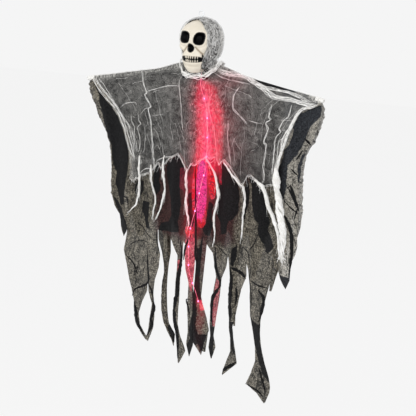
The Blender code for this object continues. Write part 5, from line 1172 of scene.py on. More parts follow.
class Cloth:
    """Points, faces and named values of one sheet while it is built."""

    KEYS = ("edge", "glow", "core", "folded", "thin", "lit", "tint", "level", "bunch", "dusk")

    def __init__(self):
        self.points, self.faces, self.map = [], [], []
        self.values = {key: [] for key in self.KEYS}

    def add(self, point, place, **values):
        self.points.append(point)
        self.map.append(place)
        for key in self.KEYS:
            self.values[key].append(values.get(key, 0.0))
        return len(self.points) - 1

    def light(self, point, front):
        """Glow, core and lit place of a point of the front."""
        if not front:
            return {"glow": 0.35 * glow_at(point.x, point.z), "lit": 0.012}
        distance, found = LIT.nearest(point.x, point.z)
        tint, level = found if found else (0.0, 0.0)
        return {"glow": glow_at(point.x, point.z), "core": core_at(point.x, point.z), "lit": distance,
                "tint": tint, "level": level}

    def finish(self, name, finish):
        return make_mesh(name, self.points, self.faces, finish, self.values, self.map)


LIT = Places([((tint, level), outline) for tint, level, outline in LIT_PLACES])
FOLDS = {True: Places([(1, outline) for outline in FOLDED]), False: Places([(1, outline) for outline in FOLDED_BACK])}


def under_poncho(side_name, x, z):
    """Distance outside the part of the robe that the poncho covers, below zero under it."""
    reach, height = abs(x), z
    out = reach - falling_value(GAUZE_EDGES[side_name], height)
    below = table_value(GAUZE_HEMS[side_name], reach * 1000) / 1000 - height
    return max(out, below) + 0.004


def dusk_at(x, z):
    """How much painted shade, tinted red by the lights, darkens the middle of the robe, from the poncho's hem to the
    ribbons.
    """
    across = 1 - smooth_share((abs(x + 0.004 + 0.012 * rough(z * 30, x * 30, 6.0)) - 0.108) / 0.022)
    down = 1 - smooth_share((-0.574 - z + 0.014 * rough(x * 40, z * 10, 3.0)) / 0.022)
    below = 0.32 * (1 - smooth_share((abs(x) - 0.05) / 0.04)) * (1 - smooth_share((-0.70 - z) / 0.12))
    return across * max(down, below)


def crease_ribbon(cloth, width, route, front):
    """A sharp fold that stands off the cloth as a narrow dark ribbon."""
    line = smooth_line([Vector((x / 1000, 0, z / 1000)) for x, z in route], 0.0035)
    before = None
    for i, point in enumerate(line):
        ahead = line[min(i + 1, len(line) - 1)] - line[max(i - 1, 0)]
        across = Vector((ahead.z, 0, -ahead.x)).normalized()
        t = i / (len(line) - 1)
        half = width / 1600 * min(1.0, 0.25 + 3.0 * t, 0.25 + 3.0 * (1 - t))
        half *= 1 + 0.35 * rough(i * 0.4, width * 3 + route[0][0], 2.0)
        row = []
        for k, lift in ((-1, 0.0003), (0, 0.0010), (1, 0.0003)):
            flat = point + across * half * k
            spot = cloth_point(flat.x, flat.z, 0.0, front)
            spot.y += facing(front) * lift
            light = cloth.light(spot, front)
            light["glow"] *= 0.25
            light["level"] = 0.0
            row.append(cloth.add(spot, (flat.x + 0.9, -flat.z), edge=0.004, folded=-0.004, **light))
        if before:
            for a, b, c, e in zip(before, before[1:], row, row[1:]):
                cloth.faces.append((a, c, e, b))
        before = row


def robe_half(side_name, side, sizes, finish):
    """One half of the robe: front and back faces, ribbons with folds and creases, and torn tips."""
    cloth = Cloth()
    fine_columns = 7
    columns = CLOTH_COLUMNS * fine_columns
    depths = [k / 4 for k in range(8)] + [ROD_ROW + k / 13 for k in range(65)]
    depths += [ROOT_ROW + k / 16 for k in range(65)]
    for face_turn, (strips, front) in enumerate(zip(ROBE_RIBBONS[side_name], (True, False))):
        index = {}
        for r, depth in enumerate(depths):
            for c in range(columns + 1):
                u = c / fine_columns
                strip = strip_of(strips, u)
                point = robe_place(side_name, side, strips, u, depth, front)
                grown = smooth_share((depth - ROD_ROW) / 2)
                point.y -= facing(front) * wrinkle_shift(point, sizes.wrinkle) * grown
                to_side = min(u - (strip[0] - 0.5), strip[1] + 0.5 - u)
                if depth <= ROOT_ROW:
                    to_side = CLOTH_COLUMNS - u
                tear = rough(point.z * 150, strip[0] * 3.1 + face_turn * 9, side * 2.0)
                tear += 0.6 * rough(point.z * 420, strip[0] * 1.7 + face_turn * 5, side * 4.0)
                reach = smooth_share(1 - to_side * 1.6)
                toward = 1 if (u > (strip[0] + strip[1]) / 2 or depth <= ROOT_ROW) else -1
                point.x += side * toward * tear * sizes.ragged * reach * (1 if depth > ROD_ROW else 0)
                if depth > 10.2:
                    point.z += 0.005 * rough(u * 3.0, strip[0], face_turn) * (depth - 10.2)
                tip = (TIP_ROW - depth) * 0.02
                folded = FOLDS[front].nearest(point.x, point.z)[0]
                if depth < ROOT_ROW:
                    folded = min(folded, under_poncho(side_name, point.x, point.z))
                # thin marks the sheer outer cloth, which is more see-through and painted paler for the light that
                # comes through it
                thin = smooth_share((side * point.x - 0.222) / 0.03) * smooth_share((point.z + 0.72) / 0.10)
                index[r, c] = cloth.add(
                    point, (point.x, -point.z), edge=min(max(0.0, to_side) * 0.012, tip + 0.004),
                    folded=folded, thin=thin if side > 0 else 0.0, dusk=dusk_at(point.x, point.z),
                    **cloth.light(point, front))
        for r in range(len(depths) - 1):
            middle = (depths[r] + depths[r + 1]) / 2
            for c in range(columns):
                u = (c + 0.5) / fine_columns
                if u < 2 and middle < ROD_ROW:  # left open for the neck
                    continue
                here, there = strip_of(strips, c / fine_columns), strip_of(strips, (c + 1) / fine_columns)
                if middle > ROOT_ROW and (here is not there or not here[0] - 0.01 <= u <= here[1] + 0.01):
                    continue
                a, b = index[r, c], index[r + 1, c]
                quad = (a, b, index[r + 1, c + 1], index[r, c + 1])
                cloth.faces.append(quad if front else quad[::-1])
        if not front:
            for number, strip in enumerate(strips):
                turned_edge(cloth, side_name, side, strips, strip, number, sizes)
        for width, route in (CREASES if front else BACK_CREASES)[side_name]:
            crease_ribbon(cloth, width, route, front)
    return cloth.finish("robe_cloth_" + side_name, finish)


def turned_edge(cloth, side_name, side, strips, strip, number, sizes):
    """A second layer along one edge of a back ribbon, where it is turned over."""
    width = strip[1] - strip[0]
    at_low = chance(number + 1, side + 3, 2) > 0.5
    start = 5.0 + 1.6 * chance(number + 5, side + 5, 1)
    steps, slices = 50, 5
    first = len(cloth.points)
    for r in range(steps + 1):
        depth = start + (10.9 - start) * r / steps
        wave = 0.5 + 0.5 * rough(depth * 1.1, number * 3.7, side * 2 + 5)
        share = sizes.fold_share * (0.5 + 1.1 * wave) * smooth_share((depth - start) / 0.8)
        for c in range(slices + 1):
            t = c / slices * share * width
            u = strip[0] + t if at_low else strip[1] - t
            point = robe_place(side_name, side, strips, u, depth, False)
            point.y += 0.0004 + 0.0016 * math.sin(HALF_TURN * min(1.0, 0.15 + c / slices * 0.6))
            cloth.add(point, (u * 0.0166 + 0.4, -point.z), edge=0.004, folded=-0.004, lit=0.012)
    cloth.faces += grid_faces(steps, slices, first)


def poncho_place(side_name, side, share, fall, front):
    """Point of the poncho: share across, and fall from the rod at 0 to the hem at 1."""
    table, hems = GAUZE_EDGES[side_name], GAUZE_HEMS[side_name]
    width = table[0][1] / 1000
    if fall < 0:
        return ridge_point(side * (seam_at(front) + share * width), GAUZE_STANDOFF,
                           QUARTER_TURN * (1 + fall), front)
    hem_z = table_value(hems, share * table[-1][1]) / 1000
    start_z = rod_line(share * width)
    z = start_z + (hem_z - start_z) * fall ** 1.2
    return cloth_point(side * (seam_at(front) + share * falling_value(table, z)), z, GAUZE_STANDOFF, front)


def poncho_half(side_name, side, sizes, finish):
    """One half of the poncho: front and back, with its torn hem."""
    cloth = Cloth()
    columns, falls = 90, [k / 5 - 1 for k in range(5)] + [k / 70 for k in range(71)]
    for front in (True, False):
        index = {}
        for r, fall in enumerate(falls):
            for c in range(columns + 1):
                share = c / columns
                point = poncho_place(side_name, side, share, fall, front)
                grown = smooth_share(fall * 4)
                point.y -= facing(front) * wrinkle_shift(point, sizes.wrinkle) * grown
                if fall > 0.85:
                    deep = (fall - 0.85) / 0.15
                    point.z += 0.004 * rough(share * 60, side * 5 + facing(front), 2.0) * deep
                    point.z += 0.003 * rough(share * 150, side * 3 + facing(front), 6.0) * deep
                if share > 0.85:
                    deep = (share - 0.85) / 0.15
                    point.x += side * 0.0030 * rough(point.z * 160, side * 7, facing(front)) * deep * grown
                to_side = (1 - share) * 0.17
                to_hem = (1 - fall) * 0.24 if fall > 0 else 1.0
                edge = min(to_side, to_hem, 0.02) - 0.0005
                if side > 0:
                    slipped = smooth_share((share - 0.42) / 0.06) * smooth_share((0.86 - share) / 0.10)
                    edge = min(edge, (fall - 0.055 * slipped) * 0.16 + (1 - slipped) * 0.4)
                ridge = smooth_share(1 - max(0.0, fall) * 14)
                rim = smooth_share(1 - to_side * 45)
                index[r, c] = cloth.add(point, (share * 0.30, -point.z), edge=edge,
                                        bunch=min(1.0, 0.45 * ridge + 0.35 * rim), **cloth.light(point, front))
        for r in range(len(falls) - 1):
            for c in range(columns):
                if c * HALF_SPAN / columns < 0.033 and falls[r] < 0.13:
                    continue
                a, b = index[r, c], index[r + 1, c]
                quad = (a, b, index[r + 1, c + 1], index[r, c + 1])
                cloth.faces.append(quad if front else quad[::-1])
    return cloth.finish("poncho_gauze_" + side_name, finish)


def on_poncho(x, z, off, front=True):
    """A point on the poncho's outer face, kept below its ridge."""
    ridge = rod_line(x) + rise_over(x, GAUZE_STANDOFF)
    point = cloth_point(x, min(z, ridge - 0.0008), GAUZE_STANDOFF, front)
    point.y += facing(front) * off
    return point


def pulled_threads(side_name, side, sizes, finish):
    """Bunches of pulled threads that lie on the poncho, and fine loose ones between them."""
    tubes = Tubes()
    for number, (count, thick, route) in enumerate(PULLED_THREADS[side_name]):
        flat = [Vector((x / 1000, 0, z / 1000)) for x, z in route]
        line = smooth_line(flat, 0.003)
        last = len(line) - 1
        for k in range(count):
            shift = (k - (count - 1) / 2) * 0.0012
            placed = []
            for i, point in enumerate(line):
                wander = 0.0015 * rough(i * 0.14, number * 2.3 + k * 5.1, side)
                wave = 0.0007 * math.sin(i * 0.75 + k * 2.1 + 2 * rough(i * 0.1, number, 3.0))
                x = point.x + shift + wander + wave
                z = point.z + shift * 0.8 + 0.0016 * rough(i * 0.16, number * 1.9 - k * 3.3, side + 4)
                placed.append(on_poncho(x, z, 0.0009 + 0.0004 * (k % 4)))
            radii = [thick / 1000 * (0.52 + 0.42 * rough(i * 0.30, number + k * 1.7, 5.0))
                     * min(1.0, 0.3 + (last - i) / 6, 0.3 + i / 6) for i in range(last + 1)]
            tubes.add(placed, radii)
    for number in range(sizes.loose_threads * 2):
        front = number % 2 == 0
        share = 0.03 + 0.94 * chance(number, sizes.seed, side + 2)
        start = 0.85 * chance(number, sizes.seed + 1, side + 3)
        long = 0.08 + 0.40 * chance(number, sizes.seed + 2, side + 4) ** 2
        slant = (chance(number, sizes.seed + 3, side + 5) - 0.5) * 0.12
        level = chance(number, sizes.seed + 4, side + 6) > 0.62
        placed = []
        for t in shares(30):
            a = share + (slant * t if not level else (t - 0.5) * long * 0.7)
            fall = start + long * t if not level else start + slant * t
            a += 0.008 * rough(t * 5, number * 1.3, side)
            fall += 0.010 * rough(t * 6, number * 2.1, side + 3)
            if not 0.02 < fall < 1.0 or not 0.0 <= a <= 1.0:
                continue
            if side > 0 and fall < 0.08 and 0.35 < a < 0.9:
                continue
            point = poncho_place(side_name, side, a, fall, front)
            point.y += facing(front) * 0.0008
            placed.append(point)
        if len(placed) > 4:
            tubes.add(placed, sizes.thread * (0.35 + 0.40 * chance(number, 9, 4)), sides=4)
    return tubes.finish("pulled_threads_" + side_name, finish)


def hem_fringe(side_name, side, sizes, finish):
    """The bunched pale edge of the poncho's hem, with short torn ends."""
    tubes = Tubes()
    for front in (True, False):
        for k in range(2):
            placed, radii = [], []
            for share in shares(201):
                point = poncho_place(side_name, side, share, 0.992 - 0.012 * k, front)
                point.y += facing(front) * 0.0009
                point.z += 0.0026 * rough(share * 34, k * 3.0, side * 2) - 0.001
                placed.append(point)
                swell = 0.5 + 0.5 * rough(share * 14, k * 5.0 + side, 4.0)
                radii.append((0.00022 + 0.00085 * max(0.0, swell) ** 2.4) * (1 if front else 0.7))
            tubes.add(placed, radii, sides=5)
    for number in range(70):
        front = number % 3 != 0
        share = (number + 0.9 * chance(number, 3, side + 2)) / 70
        top = poncho_place(side_name, side, share, 0.985, front)
        long = 0.004 + 0.022 * chance(number, 5, side + 2) ** 3
        lean = (chance(number, 6, side + 2) - 0.5) * 0.016
        placed = []
        for t in shares(8):
            point = cloth_point(top.x + lean * t + 0.0018 * rough(t * 4, number), top.z - long * t,
                                GAUZE_STANDOFF, front)
            point.y += facing(front) * 0.0006
            placed.append(point)
        tubes.add(placed, [sizes.thread * (1.3 - 0.8 * t) for t in shares(8)], sides=4)
    return tubes.finish("hem_fringe_" + side_name, finish)


def strand_line(number):
    """Middle line of a hanging strand, kept where its CAD solid lies."""
    radius, route = STRAND_ROUTES[number]
    flat = [Vector((across * HALF_SPAN, 0, -COLLAR_DROP - down * DRESS_LENGTH)) for across, down in route]
    line = smooth_line(flat, 0.003)
    solid = [v.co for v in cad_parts[f"gauze_strand_{number + 1}"].data.vertices]
    for point in line:
        near = [co.y for co in solid if abs(co.z - point.z) < 0.016 and abs(co.x - point.x) < 0.02]
        if not near:
            near = [min(solid, key=lambda co: (co - point).length).y]
        point.y = (min(near) + max(near)) / 2
    even = [line[0].y] + [(a.y + b.y + c.y) / 3 for a, b, c in zip(line, line[1:], line[2:])] + [line[-1].y]
    for point, y in zip(line, even):
        point.y = y
    return line, radius


def strand(number, finish):
    """A bunch of twisted gauze threads with kinks, loose ends and a ragged tip."""
    line, radius = strand_line(number)
    tubes = Tubes()
    count = 6 if radius < 0.006 else 10
    last = len(line) - 1
    for k in range(count):
        placed, radii = [], []
        stop = last - int(last * 0.16 * chance(number, k, 3))
        for i, point in enumerate(line[:stop + 1]):
            t = i / last
            taper = 1 - (0.45 if number < 6 else 0.0) * t ** 2
            body = radius * (0.66 + 0.30 * rough(t * 5, number * 2.2, 1.0)) * taper
            body *= 0.55 + 0.45 * smooth_share(t * 8)
            angle = FULL_TURN * (k / count + t * (2.2 + 0.8 * chance(number, k, 2))) + number
            swell = 1 + 0.55 * rough(t * 10, number * 3.1, k * 0.2)
            off = Vector((math.cos(angle), math.sin(angle) * 0.75, 0)) * body * 0.60 * swell
            kink = 0.0018 * rough(t * 9, 3.7, number) + 0.0010 * rough(t * 26, 1.3, number)
            off.x += kink + 0.0010 * rough(t * 15, k * 2.7, number)
            off.z = 0.002 * rough(t * 7, k * 1.9, number + 5)
            placed.append(point + off)
            radii.append(max(0.00045, body * (0.40 + 0.20 * rough(t * 18, k * 4.3, number))
                             * min(1.0, 0.35 + (stop - i) / 9)))
        tubes.add(placed, radii, sides=6)
    for k in range(9):
        start = int(last * (0.05 + 0.85 * chance(number, k, 7)))
        side_way = chance(number, k, 8) * 2 - 1
        placed = []
        for i in range(9):
            t = i / 8
            base = line[min(last, start + int(i * 0.9))]
            placed.append(base + Vector((side_way * radius * (0.5 + 1.1 * t), -0.0004 * i, -0.008 * t)))
        tubes.add(placed, [0.00048 * (1.2 - 0.9 * t) for t in shares(9)], sides=4)
    for k in range(22 if radius > 0.01 else 0):
        start = line[max(0, last - int(last * 0.13 * chance(number, k, 21)))]
        turn = FULL_TURN * chance(number, k, 22)
        wide = 0.004 + 0.013 * chance(number, k, 23)
        start = start + Vector((-0.005, 0, -0.004))
        placed = []
        for t in shares(10):
            bend = turn + 2.6 * t * (chance(number, k, 24) - 0.3)
            placed.append(start + Vector((math.cos(bend) * wide * t, math.sin(bend) * 0.003 * t,
                                          -0.026 * t * chance(number, k, 25) + 0.002 * rough(t * 6, k))))
        tubes.add(placed, [0.0016 * (1.1 - 0.8 * t) for t in shares(10)], sides=5)
    return tubes.finish(f"twisted_strand_{number + 1}", finish)


# Skull

def oval_distance(across, down, wide, tall, power, size):
    """Distance outside an oval of half sizes wide and tall, squarer for a higher power."""
    return ((abs(across / wide) ** power + abs(down / tall) ** power) ** (1 / power) - 1) * size


def opening_distance(x, share):
    """Distance outside the nearest opening of the face, below zero inside it, with that opening's depth."""
    drop = SKULL_HEIGHT * share
    found = []
    for side, place_x, place_drop, wide, tall in EYES:
        dx, dz, lean = x - place_x, drop - place_drop, side * EYE_LEAN
        across = dx * math.cos(lean) + dz * math.sin(lean)
        down = -dx * math.sin(lean) + dz * math.cos(lean)
        found.append((oval_distance(across, down, wide, tall, 2.5, 0.0150), 0.014))
    dz = drop - NOSE_DROP
    wide = 0.0104 * (0.80 + 0.20 * smooth_share((dz + 0.012) / 0.014))
    found.append((oval_distance(x + 0.0010, dz, wide, 0.0120, 2.1, 0.0080), 0.009))
    tall = (MOUTH_SHARES[1] - MOUTH_SHARES[0]) / 2 * SKULL_HEIGHT * (1 - 0.15 * (abs(x) / MOUTH_HALF) ** 2)
    dz = drop - (MOUTH_SHARES[0] + MOUTH_SHARES[1]) / 2 * SKULL_HEIGHT
    found.append((oval_distance(x, dz, MOUTH_HALF, tall, 4.0, 0.0075), 0.0050))
    for side, place_x, place_share, wide, tall in MOUTH_CORNERS:
        dx = x - side * (place_x + (drop - 0.70 * SKULL_HEIGHT) * 0.06)
        dz = drop - place_share * SKULL_HEIGHT
        found.append((oval_distance(dx, dz, wide, tall, 2.0, wide), 0.0050))
    return min(found)


def bump_at(x, share, centre_x, centre_share, wide, tall):
    """Height of a soft bump, from 0 to 1, on both sides of the face."""
    return math.exp(-((abs(x) - centre_x) / wide) ** 2 - ((share - centre_share) * SKULL_HEIGHT / tall) ** 2)


def crease_at(x, share):
    """Closeness to the line that runs from the nose down to the cheek."""
    drop = share * SKULL_HEIGHT
    ax, az, bx, bz = 0.0120, 0.500 * SKULL_HEIGHT, 0.0270, 0.625 * SKULL_HEIGHT
    dx, dz = bx - ax, bz - az
    along = min(1.0, max(0.0, ((abs(x) - ax) * dx + (drop - az) * dz) / (dx * dx + dz * dz)))
    away = math.hypot(abs(x) - ax - dx * along, drop - az - dz * along)
    return math.exp(-(away / 0.0026) ** 2)


def face_relief(x, share):
    """Height of the bone over the plain skull, with how much shade is painted there."""
    brow = bump_at(x, share, 0.022, 0.175, 0.018, 0.0085) * 0.0028
    flat = bump_at(x, share, 0.035, 0.36, 0.013, 0.034) * 0.0034
    bridge = bump_at(x, share, 0.0, 0.36, 0.0065, 0.016) * 0.0030
    cheek = bump_at(x, share, 0.035, 0.515, 0.011, 0.0075) * 0.0046
    muzzle = bump_at(x, share, 0.0, 0.62, 0.021, 0.008) * 0.0016 + bump_at(x, share, 0.0, 0.88, 0.022, 0.010) * 0.0022
    chin = bump_at(x, share, 0.009, 0.955, 0.013, 0.0065) * 0.0018
    temple = bump_at(x, share, 0.049, 0.25, 0.008, 0.017) * 0.0024
    sunk = bump_at(x, share, 0.0360, 0.70, 0.0065, 0.0135) * 0.0040
    crease = crease_at(x, share)
    ridge = brow + flat + bridge + cheek + muzzle + chin - temple - sunk - crease * 0.0016
    # Where shade is painted: the temples, sunken cheeks, the crease, under the lip and eyes, and between the brows
    lip = bump_at(x, share, 0.0, 0.855, 0.026, 0.0045)
    under_eye = bump_at(x, share, 0.021, 0.475, 0.012, 0.0050)
    between = bump_at(x, share, 0.004, 0.30, 0.007, 0.012)
    between += bump_at(x, share, 0.0, 0.21, 0.017, 0.014) * 0.6
    painted_shade = min(1.0, temple * 60 + sunk * 120 + crease * 0.85 + lip * 0.42 + under_eye * 0.22 + between * 0.16)
    return ridge - lip * 0.0008, painted_shade


def jaw_wide(angle, share):
    """How much wider than the plain skull the jaw is, drawing in again under the hood."""
    tall = smooth_share((share - 0.60) / 0.14) * (1 - 0.55 * smooth_share((share - 0.90) / 0.10))
    under_hood = smooth_share((math.degrees(angle) - 34) / 10)
    return 1 + 0.20 * tall * (1 - under_hood)


def skull_shell(finish, dark):
    """Moulded face with brow, cheekbones, deep sockets, nose and mouth."""
    points, openings, hollows = [], [], []
    columns, rows = 210, 170
    for r in range(rows + 1):
        share = 0.004 + 0.996 * r / rows
        reach = face_reach(share)
        for c in range(columns + 1):
            angle = reach * (2 * c / columns - 1)
            plain = skull_point(angle, share)
            outward = Vector((math.sin(angle), -math.cos(angle), 0))
            if share < CROWN_SHARE:
                outward.z = 1 - share / CROWN_SHARE
                outward.normalize()
            distance, depth = opening_distance(plain.x, share)
            if math.cos(angle) < 0.12:
                distance = max(distance, 0.004)
            ridge, painted_shade = face_relief(plain.x, share)
            plain.x *= jaw_wide(angle, share)
            fade = smooth_share((QUARTER_TURN - abs(angle)) / math.radians(14))
            fade *= 1 - smooth_share((abs(angle) - face_opening(share, angle)) / math.radians(5))
            rim = 0.0008 * math.exp(-((distance - 0.0022) / 0.0022) ** 2)
            sink = depth * smooth_share(-distance / (0.0056 if depth > 0.007 else 0.0022))
            fine = 0.00022 * rough(plain.x * 130, plain.z * 130, 1.0)
            fine += 0.0003 * rough(plain.x * 45, plain.z * 45, 2.0)
            point = plain + outward * ((ridge + rim) * fade - sink + fine * fade)
            point.y -= FACE_STANDOFF
            points.append(point)
            openings.append(distance)
            # Painted shade round the rims of the openings
            shade = math.exp(-max(0.0, distance) / 0.0011) * 0.45
            hollows.append(min(1.0, max(painted_shade * fade, shade)))
    shell, deep = [], []
    for face in grid_faces(rows, columns):
        (deep if max(openings[i] for i in face) < -0.0009 else shell).append(face)
    maps = {"opening": openings, "painted_shade": hollows}
    return (make_mesh("skull_shell", points, shell, finish, maps),
            make_mesh("skull_hollows", points, deep, dark, maps))


def tooth_row(name, top_share, bottom_share, upper, finish):
    """A row of separate rounded teeth with pointed gaps between them."""
    points, faces, openings, hollows = [], [], [], []
    count = 7
    reach = math.radians(29)
    for tooth in range(count):
        middle = reach * (2 * (tooth + 0.5) / count - 1)
        half = reach / count * 0.97
        size = 1.0 if tooth in (3, 4) else 0.95
        first = len(points)
        steps, slices = 14, 12
        for r in range(steps + 1):
            t = r / steps
            free = t if upper else 1 - t
            share = top_share + (bottom_share - top_share) * t
            narrow = 0.92 - (0.60 + 0.22 * rough(tooth * 3.3, top_share * 40)) * max(0.0, free * 1.12 - 0.12) ** 0.85
            for c in range(slices + 1):
                s = 2 * c / slices - 1
                angle = middle + half * s * narrow
                crown = (1 - abs(s) ** 3.0) * 0.0026 * (1 - 0.55 * abs(2 * t - 1) ** 4)
                point = skull_point(angle, share, 0.0016 - crown * size + 0.0022 * smooth_share(1 - free * 4))
                if not upper:
                    point.y += 0.0006
                point.y -= FACE_STANDOFF
                point.z += (0.0012 if upper else -0.0012) * (abs(s) ** 2.2) * free
                points.append(point)
                openings.append(0.02)
                # Painted shade at the sides of each tooth
                hollows.append(min(1.0, 0.9 * abs(s) ** 7 * smooth_share(free * 2.2)))
        faces += grid_faces(steps, slices, first)
    return make_mesh(name, points, faces, finish, {"opening": openings, "painted_shade": hollows})


def face_opening(share, angle):
    """Half angle of the hood's opening: a broad arch over the brow that closes in beside the jaw."""
    return math.radians(table_value(HOOD_OPENING, share, 1 if angle < 0 else 2))


def hood_place(angle, share, outset):
    """Point of the hood, which draws in under the jaw towards the tie."""
    point = skull_point(angle, max(min(share, 1.0), 0.0002), -outset)
    low = smooth_share((share - 0.62) / 0.30) * smooth_share((abs(angle) - math.radians(30)) / math.radians(25))
    point.x *= 1 + 0.10 * low * (1 if abs(angle) < math.radians(100) else 0.4)
    point.y += 0.006 * low * max(0.0, math.cos(angle))
    return point


def hood_fold(angle, share):
    """Height of the nine folds that run down from the crown."""
    return 0.0022 * math.cos(9 * angle) * smooth_share(share / CROWN_SHARE)


def hood_sheet(name, finish, off, reach, rows, columns, wider, bottom, ragged):
    """Gauze over the crown, sides and back of the skull, open at the face."""
    points, cloth, edges, shades = [], [], [], []
    for r in range(rows + 1):
        for c in range(columns + 1):
            angle = FULL_TURN * c / columns - HALF_TURN
            side_low = smooth_share((math.radians(110) - abs(angle)) / math.radians(25))
            share = (bottom + (0.93 - bottom) * side_low) * (r / rows) ** 1.35
            crease = 0.0010 * rough(math.sin(angle) * 5, math.cos(angle) * 5, share * 7 + off * 900)
            crease += 0.0007 * rough(math.sin(angle) * 16, math.cos(angle) * 16, share * 15)
            outset = off + HOOD_STANDOFF + hood_fold(angle, share) + crease * smooth_share(share / 0.1)
            outset += reach * smooth_share(share / 0.25)
            point = hood_place(angle, share, outset)
            if share == 0.0:
                point = Vector((0.004 * math.sin(angle), -0.004 * math.cos(angle), -SKULL_CROWN_DROP + outset))
            if r == rows:
                point.z += ragged * rough(c * 0.35, off * 500, 1.0)
            points.append(point)
            cloth.append((angle * 0.05, share * SKULL_HEIGHT))
            wander = math.radians(2.0) * rough(share * 16, 2.0 if angle > 0 else 5.0, off * 300)
            open_angle = face_opening(share, angle)
            aside = (abs(angle) - open_angle - wider - wander) * 0.05 if open_angle > 0 else 0.02
            edges.append(min(aside, (1 - r / rows) * 0.10 + 0.002) - 0.0002)
            near = smooth_share((math.radians(20) - abs(angle) + open_angle) / math.radians(14)) if angle > 0 else 0
            shades.append(near * smooth_share((share - 0.60) / 0.10))
    faces = [face for face in grid_faces(rows, columns) if max(edges[i] for i in face) >= -0.0040]
    return make_mesh(name, points, faces, finish, {"edge": edges, "shade": shades}, cloth)


def hood_point(angle, share, off):
    """Point of the hood's cloth, or off it."""
    return hood_place(angle, share, HOOD_STANDOFF + hood_fold(angle, share) + off)


def hood_threads(finish):
    """Threads that curve over the hood from the brow to the neck, and those round its opening."""
    tubes = Tubes()
    for number in range(70):
        start = HALF_TURN * (2 * chance(number, 1, 1) - 1)
        top = 0.03 + 0.35 * chance(number, 2, 1)
        long = 0.20 + 0.45 * chance(number, 3, 1)
        swing = math.radians(-60 + 120 * chance(number, 4, 1))
        placed = []
        for t in shares(28):
            angle = start + swing * t * t + 0.08 * rough(t * 4, number, 1.0)
            share = max(0.02, top + long * t + 0.015 * rough(t * 5, number, 4.0))
            if share > 0.86:
                break
            turned = (angle + HALF_TURN) % FULL_TURN - HALF_TURN
            if abs(turned) < face_opening(share, turned) + math.radians(2):
                continue
            if share > 0.74 and abs(turned) > math.radians(100):
                continue
            placed.append(hood_point(turned, share, 0.0011 + 0.0010 * chance(number, 5, 1)))
        kept = [placed[0]] if placed else []
        for point in placed[1:]:
            if (point - kept[-1]).length > 0.02:
                break
            kept.append(point)
        if len(kept) > 5:
            tubes.add(kept, 0.00030 + 0.0004 * chance(number, 6, 1), sides=5)
    for k in range(3):
        for side in (-1, 1):
            placed = []
            for i in range(60):
                share = 0.10 + 0.78 * i / 59
                angle = side * (face_opening(share, side) + math.radians(1.5 + 3.0 * k))
                angle += 0.05 * rough(share * 9, k * 2.0, side)
                placed.append(hood_point(angle, share, 0.0008 + 0.0004 * k))
            tubes.add(placed, [0.00045 * (1 + 0.7 * rough(i * 0.2, k, side)) for i in range(60)], sides=5)
    for k in range(9):
        placed, radii = [], []
        for t in shares(34):
            share = 0.16 + 0.60 * t
            angle = math.radians(104 + 5.0 * k - 30 * t * t) + 0.10 * rough(t * 4, k * 3.0, 2.0)
            placed.append(hood_point(angle, share, 0.0012))
            radii.append(0.0006 + 0.0007 * (0.5 + 0.5 * rough(t * 5, k * 2.0, 9.0)))
        tubes.add(placed, radii, sides=5)
    return tubes.finish("hood_threads", finish)


# Neck tie

def tie_point(turn):
    """Middle of the neck tie at a turn round the neck."""
    x = 0.056 * math.sin(turn)
    front = math.cos(turn) > 0
    drop = 0.034 * (1 - math.sin(turn) ** 4) + 0.0003
    here = stand_out(x, drop, GAUZE_STANDOFF, front)
    slope = (stand_out(x, drop + 0.0003, GAUZE_STANDOFF, front) - here) / 0.0003
    outward = Vector((0, 1, slope)).normalized()
    margin = 0.0042 + 0.0006 + 0.0006 + 0.0016 * math.sin(turn) ** 4
    ridge = rod_line(x) + rise_over(x, GAUZE_STANDOFF)
    return Vector((x, facing(front) * (here + outward.y * margin), ridge - drop + outward.z * margin))


